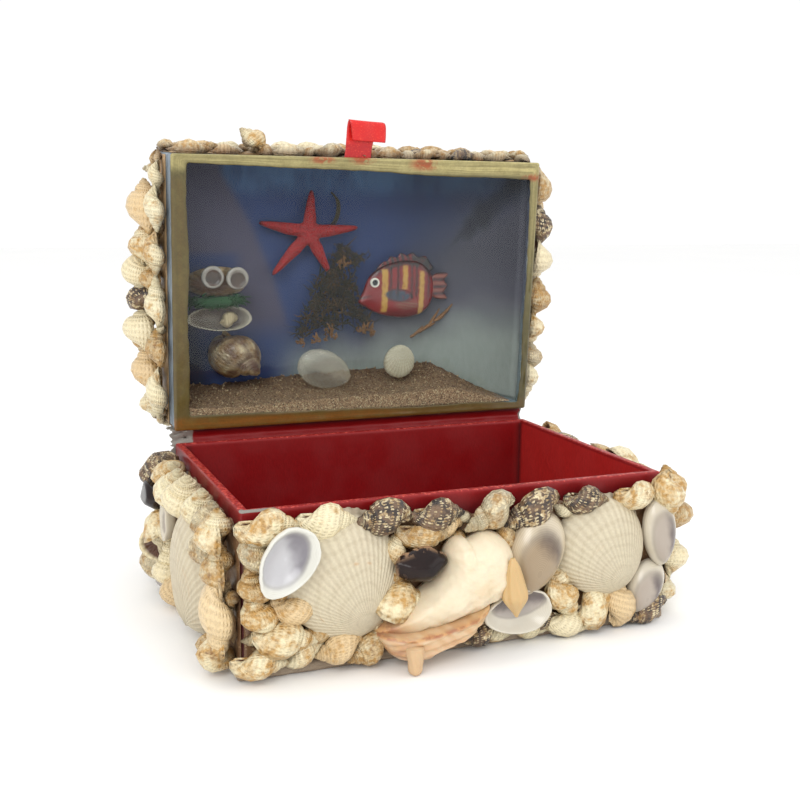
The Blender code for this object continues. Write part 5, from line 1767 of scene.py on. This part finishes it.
def makeWeed():
    spread = seeded(21)
    shapes = []

    def strand(line, thick, tone, samples=9):
        radii = thick * np.interp(np.linspace(0, 1, samples), [0, 0.3, 1], [0.7, 1, 0.3])
        seed = int(spread.integers(1 << 30))
        shapes.append(placed(tubeShape(smoothLine(line, samples), radii), still, tone, seed))

    left, right, low, high = weed["foot"]
    leftTop, rightTop, lowTop, highTop = weed["top"]
    for _ in range(weed["stems"]):
        share = spread.uniform(0, 1)
        foot = np.array((left + (right - left) * share, spread.uniform(low, high), spread.uniform(1.5, 6)))
        tip = np.array((leftTop + (rightTop - leftTop) * np.clip(share + spread.normal(0, 0.2), 0, 1),
                        spread.uniform(lowTop, highTop), spread.uniform(2, 9)))
        bent = [spread.normal(0, 1.8, 3) * (1, 1, 0.5) for _ in range(2)]
        bends = [foot + (tip - foot) * part + away for part, away in zip((0.35, 0.7), bent)]
        strand([foot, *bends, tip], spread.uniform(0.22, 0.5), (0.15 * spread.uniform(), 0.05, 0))
    for x, up, size, count in weed["clumps"]:
        for _ in range(count):
            foot = np.array((x, up, 4.5)) + spread.normal(0, 0.5, 3) * (size, size, 3.4)
            foot[2] = max(foot[2], 1.6)
            line = [foot]
            way = spread.normal(0, 1, 3)
            for _ in range(3):
                way = way * 0.5 + spread.normal(0, 0.9, 3)
                line.append(line[-1] + way * (0.9, 0.9, 0.5))
            tone = (spread.choice((0, 0.15, 0.4), p=(0.6, 0.28, 0.12)), 0.12 * spread.uniform(), 0)
            strand(line, spread.uniform(0.16, 0.4), tone, 7)
    for x, up, size in weed["tufts"]:
        for _ in range(16):
            foot = np.array((x, up, 6.5)) + spread.normal(0, 0.32, 3) * size
            way = spread.normal(0, 0.32, 3) * size + (0, 0.45 * size, 0)
            middle = foot + way * 0.5 + spread.normal(0, 0.5, 3)
            strand([foot, middle, foot + way], 0.17 * size, (0.8, 0, 0), 5)
    twig = np.array(weed["twig"], float)
    for here, there in zip(twig, twig[1:]):
        for part in (0, 0.33, 0.66):
            foot = here * (1 - part) + there * part
            way = (there - here) * (1, 1, 0) + (0, spread.normal(0, 2), spread.normal(0, 0.6))
            strand([foot, foot + way * 0.5, foot + way * 0.85 + (0, 0.4, 0)], 0.75, (0.85, 0, 0), 6)
    for shift in (0, 0.5, -0.4):
        strand([np.array(point) + (shift, -shift, 0) for point in weed["darkTwig"]], 0.55, (0.1, 0.15, 0), 16)
    makePiece("weed_look", shapes, inScene, weedFinish, "lid", ["dried_weed"])


starfish = {
    "centre": (-15.6, 72.6), "level": 4.4,
    "arms": [(6, 21), (87, 17), (169, 21), (228, 22.5), (299, 18.5)],
}


# Matt red with darker grains, paler on the crest of each arm
def makeStarfishFinish():
    newMaterial("red_starfish", Roughness=0.7)
    ground(clouded(180, 3, (0.52, 0.025, 0.03), (0.64, 0.055, 0.055)))
    cells = cellsOf(1100)["Distance"]
    pale = times(spreadOut(cells, 0.45, 0.1), mark("hollow"))
    paint(pale, (0.78, 0.2, 0.17), 0.25)
    paint(spreadOut(cells, 0.45, 0.75, 0, 0.6), (0.42, 0.07, 0.08))
    return finished(minus(1, cells), 0.0004, 0.7)


# The way that an angle in degrees points
def heading(angle):
    return np.array((math.cos(math.radians(angle)), math.sin(math.radians(angle))))


# Five tapering arms round a centre: the outline passes each arm's two sides and its tip
def makeStarfish():
    outline = []
    arms = starfish["arms"]
    halves = [(0.42, 2.4), (0.62, 1.9), (0.82, 1.35), (0.96, 0.8), (1, 0)]
    halves += [(share, -half) for share, half in halves[-2::-1]]
    for index, (angle, reach) in enumerate(arms):
        way = heading(angle)
        beside = np.array((way[1], -way[0]))
        outline += [way * reach * share + beside * half for share, half in halves]
        after = arms[(index + 1) % 5][0] + (360 if index == 4 else 0)
        outline.append(heading((angle + after) / 2) * 5)
    edge = smoothLine(outline, 300, True)
    shape = moundShape(edge, np.zeros(2), 3, 2.9, 20, 0.8)
    shape["hollow"] = eased(shape["away"] / 2.4 - 0.2)
    shape["points"][:, 2] += 0.12 * mm * unevenness(shape["points"] / mm, 1.4, 6) * (shape["away"] > 0.4)
    place = at(*starfish["centre"], starfish["level"])
    sceneLook("starfish", placed(shape, place, seed=61), makeStarfishFinish())


# Cast resin: red, with painted yellow, blue, tan and black places that the marks carry
def makeResinFinish():
    newMaterial("painted_resin", Roughness=0.35, Coat_Weight=0.3, Coat_Roughness=0.15)
    ground(clouded(160, 3, (0.4, 0.05, 0.06), (0.55, 0.08, 0.09)))
    paints = {
        "pale": (0.48, 0.34, 0.26), "golden": (0.7, 0.53, 0.22),
        "inside": (0.18, 0.22, 0.28), "shade": (0.1, 0.05, 0.05),
    }
    broken = spreadOut(noise(700, 3), 0.3, 0.5, 0.55, 1)
    for name, shown in paints.items():
        paint(times(mark(name), broken), shown)
    return finished(noise(420, 3), 0.0002, 0.4)


fish = {
    "body": [
        (5.6, 44.4), (7.4, 48), (9.4, 53.4), (13, 57.4), (19, 60.2), (26, 61.4), (32.5, 60.6), (37, 57.4),
        (39.2, 52.5), (39.3, 47), (37.6, 42), (33.5, 38.6), (27, 37.2), (20, 37.8), (14, 39.4), (8.6, 42.2),
    ],
    "fin": [
        (13.5, 57.5), (16, 60.5), (18.2, 61.2), (19.6, 63), (22.4, 62.6), (24.2, 64.4), (27, 63.4),
        (29.6, 64.6), (32, 62.8), (35.5, 63), (37.5, 60.4), (39.2, 58), (36, 56.5), (26, 58.5), (18, 57.5),
    ],
    "tail": [
        (38, 53), (41, 55.8), (46, 55.6), (44.4, 52.8), (46, 50.4), (44.4, 47.6), (46, 44.8), (41, 45),
        (38, 47.5),
    ],
}


# A generic round reef fish: the paint's stripes are cut from its own length and height
def makeFish():
    shapes = []
    # height, how far its edge slopes in, columns, middle and level of each part
    mounds = {
        "body": (3, 7, 200, (22, 49.5), 6.4), "fin": (1.4, 1.4, 150, (27, 60), 6),
        "tail": (1.5, 1.2, 90, (41.5, 50.4), 6.2),
    }
    for name, (height, reach, columns, centre, level) in mounds.items():
        outline = smoothLine(fish[name], columns, True)
        shape = moundShape(outline, np.array(centre), height, reach, 26, 0.8)
        x, up, _ = placesOf(shape)
        away = shape["away"]
        item = placed(shape, at(0, 0, level), seed=62)
        marks = item["marks"]
        marks.update({label: np.zeros(len(x)) for label in ("golden", "inside", "pale", "shade")})
        if name == "body":
            bent = x + 0.12 * np.sin(up * 1.9) + 0.1 * np.sin(up * 4.3)
            bands = [(16.6, 1.3, 49, 9), (25.6, 1.1, 54.5, 5), (33.2, 1.1, 47.5, 9.5)]
            yellow = [stripe(bent, *band[:2]) * stripe(up, *band[2:], 1) for band in bands]
            marks["golden"] = np.clip(sum(yellow), 0, 1)
            side = np.hypot((x - 22.5) / 5.6, (up - 47 + 0.1 * (x - 22)) / 2.3)
            marks["inside"] = eased((1.15 - side) / 0.3)
            ray = np.hypot((x - 27.5) / 6.5, (up - 42.8) / 2)
            marks["pale"] = eased((1.1 - ray) / 0.4) * (0.5 + 0.5 * np.sin(up * 5 + x * 0.8))
            brow = stripe(up, 46.2 + 0.25 * (x - 8), 0.5) * eased((12 - x) / 3)
            back = eased((2.9 - away) / 1.6) * eased((up - 53.5) / 3)
            bars = [stripe(bent, place, 0.6, 0.4) for place in (19.2, 22.4, 28.6, 30.8, 36.6)]
            bars = 0.75 * np.max(bars, axis=0) * eased((up - 44) / 4)
            belly = 0.45 * eased((44 - up) / 5) * eased((x - 14) / 8)
            dark = 0.9 * back + 0.7 * brow + 0.7 * stripe(side, 1.15, 0.1, 0.1) + bars + belly
            marks["shade"] = np.clip(dark, 0, 1) * (1 - marks["golden"])
        elif name == "fin":
            marks["shade"] = np.clip(0.72 + 0.4 * np.sin(x * 2.6 + up * 0.8) + eased((x - 28) / 4), 0, 1)
        else:
            bars = 0.5 + 0.5 * np.sin(up * 2.1)
            marks["pale"], marks["shade"] = 0.55 * bars, 0.95 * (1 - bars)
        shapes.append(item)
    sceneLook("fish", shapes, makeResinFinish())


# Eyes: a white plastic ring round a dark middle, under a glossy coat
def makeEyeFinish():
    newMaterial("eye_plastic", Roughness=0.25, Coat_Weight=0.12, Coat_Roughness=0.05)
    white = clouded(200, 2, (0.6, 0.56, 0.52), (0.46, 0.41, 0.38))
    brown = clouded(500, 3, (0.13, 0.08, 0.06), (0.36, 0.26, 0.2))
    black = parts(mark("tone"))[0]
    white = mixed(black, white, (0.88, 0.85, 0.8))
    dark = mixed(black, brown, (0.04, 0.03, 0.03))
    ground(mixed(mark("hollow"), white, dark))
    return finished()


eyeFinish = makeEyeFinish()
# Node: along, up, level, radius, thickness, the pupil's radius and shift, how black it is
eyes = {
    "fish_eye": (12, 52.5, 8.6, 2, 1.3, 1.25, (0, 0), 1),
    "critter_eye_left": (-58, 57, 17.2, 4.4, 2.2, 3.1, (0.3, -0.3), 0.1),
    "critter_eye_right": (-48.3, 56.4, 17.2, 4.4, 2.2, 3, (0.1, -0.6), 0.1),
}


# A flat dome whose rim is rounded and whose middle is sunk a little
def makeEye(node, item):
    x, up, level, radius, thick, pupil, shift, black = item
    share = np.array([0.05, 0.2, 0.35, 0.48, 0.56, 0.64, 0.72, 0.82, 0.92, 0.98, 1, 0.98, 0.5])[:, None]
    height = [0.72, 0.72, 0.72, 0.72, 0.74, 0.88, 0.96, 1, 0.96, 0.82, 0.5, 0.1, 0]
    height = np.array(height)[:, None] * thick
    around = circle(40)
    points = joined(radius * (share * np.cos(around)), radius * (share * np.sin(around)), height) * mm
    shape = gridShape(points, points[0].mean(0) * (0, 0, 1), (0, 0, 0))
    places = shape["points"] / mm
    far = np.hypot(places[:, 0] - shift[0], places[:, 1] - shift[1])
    shape["hollow"] = eased((pupil - far) / 0.35 + 0.5)
    shape = placed(shape, at(x, up, level), (black, 0, 0), seedOf(node))
    sceneLook(node, shape, eyeFinish)


# A finish that lets what lies behind show through, as thin shell does
def thinned(finish, name, alpha):
    material = finish.copy()
    material.name = name
    material.node_tree.nodes["Principled BSDF"].inputs["Alpha"].default_value = alpha
    return material


thinValve = thinned(valveFinish, "thin_valve", 0.4)
thinCockle = thinned(cockleFinish, "thin_cockle", 0.85)


# Small figure of shells: a marbled snail, a gaping valve with a bead in it, a band of moss
# and a brown cap under the two eyes
def makeCritter():
    snail = snailShape("plump", 27, 19.5, 17, 200, 80, 20)
    tilt = turned(-50, "z") @ turned(-42, "y")
    marbled = 0.66 + 0.5 * unevenness(snail["points"] / mm, 6, 6)
    snail["hollow"] = np.clip(np.maximum(snail["hollow"], marbled), 0, 1)
    snail = placed(snail, at(-47.5, 24.5, 8.5) @ tilt @ at(0, 0, -8), (0.5, 0.15, 0.6), 71, 1)
    sceneLook("critter_body", snail, snailFinish)
    jaw = bowlShape(26, 10, 6, 0.86)
    jaw["shade"] = np.full(len(jaw["points"]), 0.95)
    jaw = placed(jaw, at(-55, 39.4, 12.5) @ turned(-16, "x"), (0, 0.9, 0), 72, 1)
    sceneLook("critter_jaw", jaw, thinValve)
    bead = snailShape("round", 7.5, 6, 5, 200, 30, 10)
    bead["hollow"] = np.maximum(bead["hollow"], 0.4)
    bead = placed(bead, at(-51.5, 40.3, 15.5) @ turned(190, "z"), (0.1, 0, 0.5), 73, 1)
    cap = capShape(25, 12, 6.5, 0.02)
    cap = placed(cap, at(-55.5, 54.2, 11), (0.7, 0.35, 0.9), 74, 0.45)
    sceneLook("critter_head", [cap, bead], snailFinish)
    spread = seeded(31)
    core = smoothLine([(-66, 47.4, 15), (-60, 47, 17), (-52, 47.2, 17), (-45.5, 47.4, 15)], 20)
    band = tubeShape(core, 2.3 * np.sin(np.linspace(0.35, np.pi - 0.35, 20)), 8)
    shapes = [placed(band, still, (0, 0.9, 0), 75)]
    for _ in range(420):
        foot = core[spread.integers(0, 20)] + spread.normal(0, 1, 3)
        way = spread.normal(0, 1, 3) * (1.1, 0.8, 0.7) + (0, 0, 0.8)
        line = smoothLine([foot, foot + way * 0.5 + spread.normal(0, 0.3, 3), foot + way], 5)
        tone = (0, spread.uniform(0.7, 1), 0)
        tuft = tubeShape(line, [0.22, 0.28, 0.25, 0.2, 0.1])
        shapes.append(placed(tuft, still, tone, int(spread.integers(1 << 30))))
    sceneLook("critter_moss", shapes, weedFinish)


# Two thin valves stuck up behind the window
def makeSceneValves():
    oval = capShape(23, 15.5, 4.6, 0.05)
    oval["shade"] = eased(0.4 + oval["points"][:, 1] / (7 * mm))
    oval["hollow"] = np.clip(oval["hollow"] + 0.3 * oval["shade"], 0, 0.95)
    place = at(-12.5, 18.8, 17.5) @ turned(160, "z")
    oval = placed(oval, place, (0.15, 1, 0), 76, 1)
    sceneLook("white_valve_oval", oval, thinValve)
    ribbed = cockleShape(13.8, 13.6, 3.6, 24, 18, 0.02, 0.14, 0.04)
    place = at(20.4, 20.6, 17.5) @ turned(265, "z")
    ribbed = placed(ribbed, place, (0, 24, 0), 77, 1)
    sceneLook("white_valve_round", ribbed, thinCockle)


print("scene behind the window")
makeSceneCard()
makeSand()
makeWeed()
makeStarfish()
makeFish()
for node, item in eyes.items():
    makeEye(node, item)
makeCritter()
makeSceneValves()

# Camera, floor and light

view = {
    "target": (0, 0, 0.06), "turn": -22.25, "rise": 10.2, "roll": 0.64,
    "far": 0.4036, "across": 0.0028, "up": -0.0138, "lens": 49.9,
}


def makeCamera():
    turn, rise, roll = (math.radians(view[key]) for key in ("turn", "rise", "roll"))
    back = np.array((math.sin(turn) * math.cos(rise), -math.cos(turn) * math.cos(rise), math.sin(rise)))
    right = np.array((math.cos(turn), math.sin(turn), 0))
    up = np.cross(back, right)
    rightward = math.cos(roll) * right + math.sin(roll) * up
    upward = math.cos(roll) * up - math.sin(roll) * right
    data = bpy.data.cameras.new("camera")
    data.lens, data.sensor_width, data.clip_start = view["lens"], 36, 0.01
    camera = addObject("camera", data)
    place = np.array(view["target"]) - view["across"] * rightward - view["up"] * upward
    place = place + view["far"] * back
    camera.matrix_world = Matrix(wallFrame(place, rightward, upward).tolist())
    bpy.context.scene.camera = camera


def makeFloor():
    newMaterial("pale_floor", Roughness=0.9)
    opened["own"] = objectPlace()
    ground(clouded(3, 2, (0.97, 0.97, 0.97), (0.99, 0.99, 0.985)))
    mesh = bpy.data.meshes.new("floor")
    low = -0.0002
    mesh.from_pydata([(-3, -3, low), (3, -3, low), (3, 3, low), (-3, 3, low)], [], [(0, 1, 2, 3)])
    mesh.materials.append(finished())
    floor = addObject("floor", mesh)


# Soft lamps: place, aim, size and power
lamps = {
    "key": ((-0.55, -0.85, 0.75), (0, 0, 0.06), 0.6, 5),
    "fill": ((0.8, -0.7, 0.5), (0, 0, 0.06), 0.8, 1.2),
    "top": ((0.1, 0.15, 1.1), (0, 0, 0.05), 0.8, 2),
}


def makeLamps():
    for name, (place, aim, size, power) in lamps.items():
        data = bpy.data.lights.new(name, "AREA")
        data.shape, data.size, data.energy = "SQUARE", size, power
        back = unit(np.array(place, float) - aim)
        across = unit(np.cross((0, 0, 1), back))
        matrix = wallFrame(place, across, np.cross(back, across))
        addObject(name, data).matrix_world = Matrix(matrix.tolist())
    world = bpy.data.worlds.new("studio")
    world.use_nodes = True
    background = world.node_tree.nodes["Background"].inputs
    background["Color"].default_value = (1, 1, 1, 1)
    background["Strength"].default_value = 1.03
    bpy.context.scene.world = world
    bpy.context.scene.view_settings.view_transform = "Standard"


makeCamera()
makeFloor()
makeLamps()
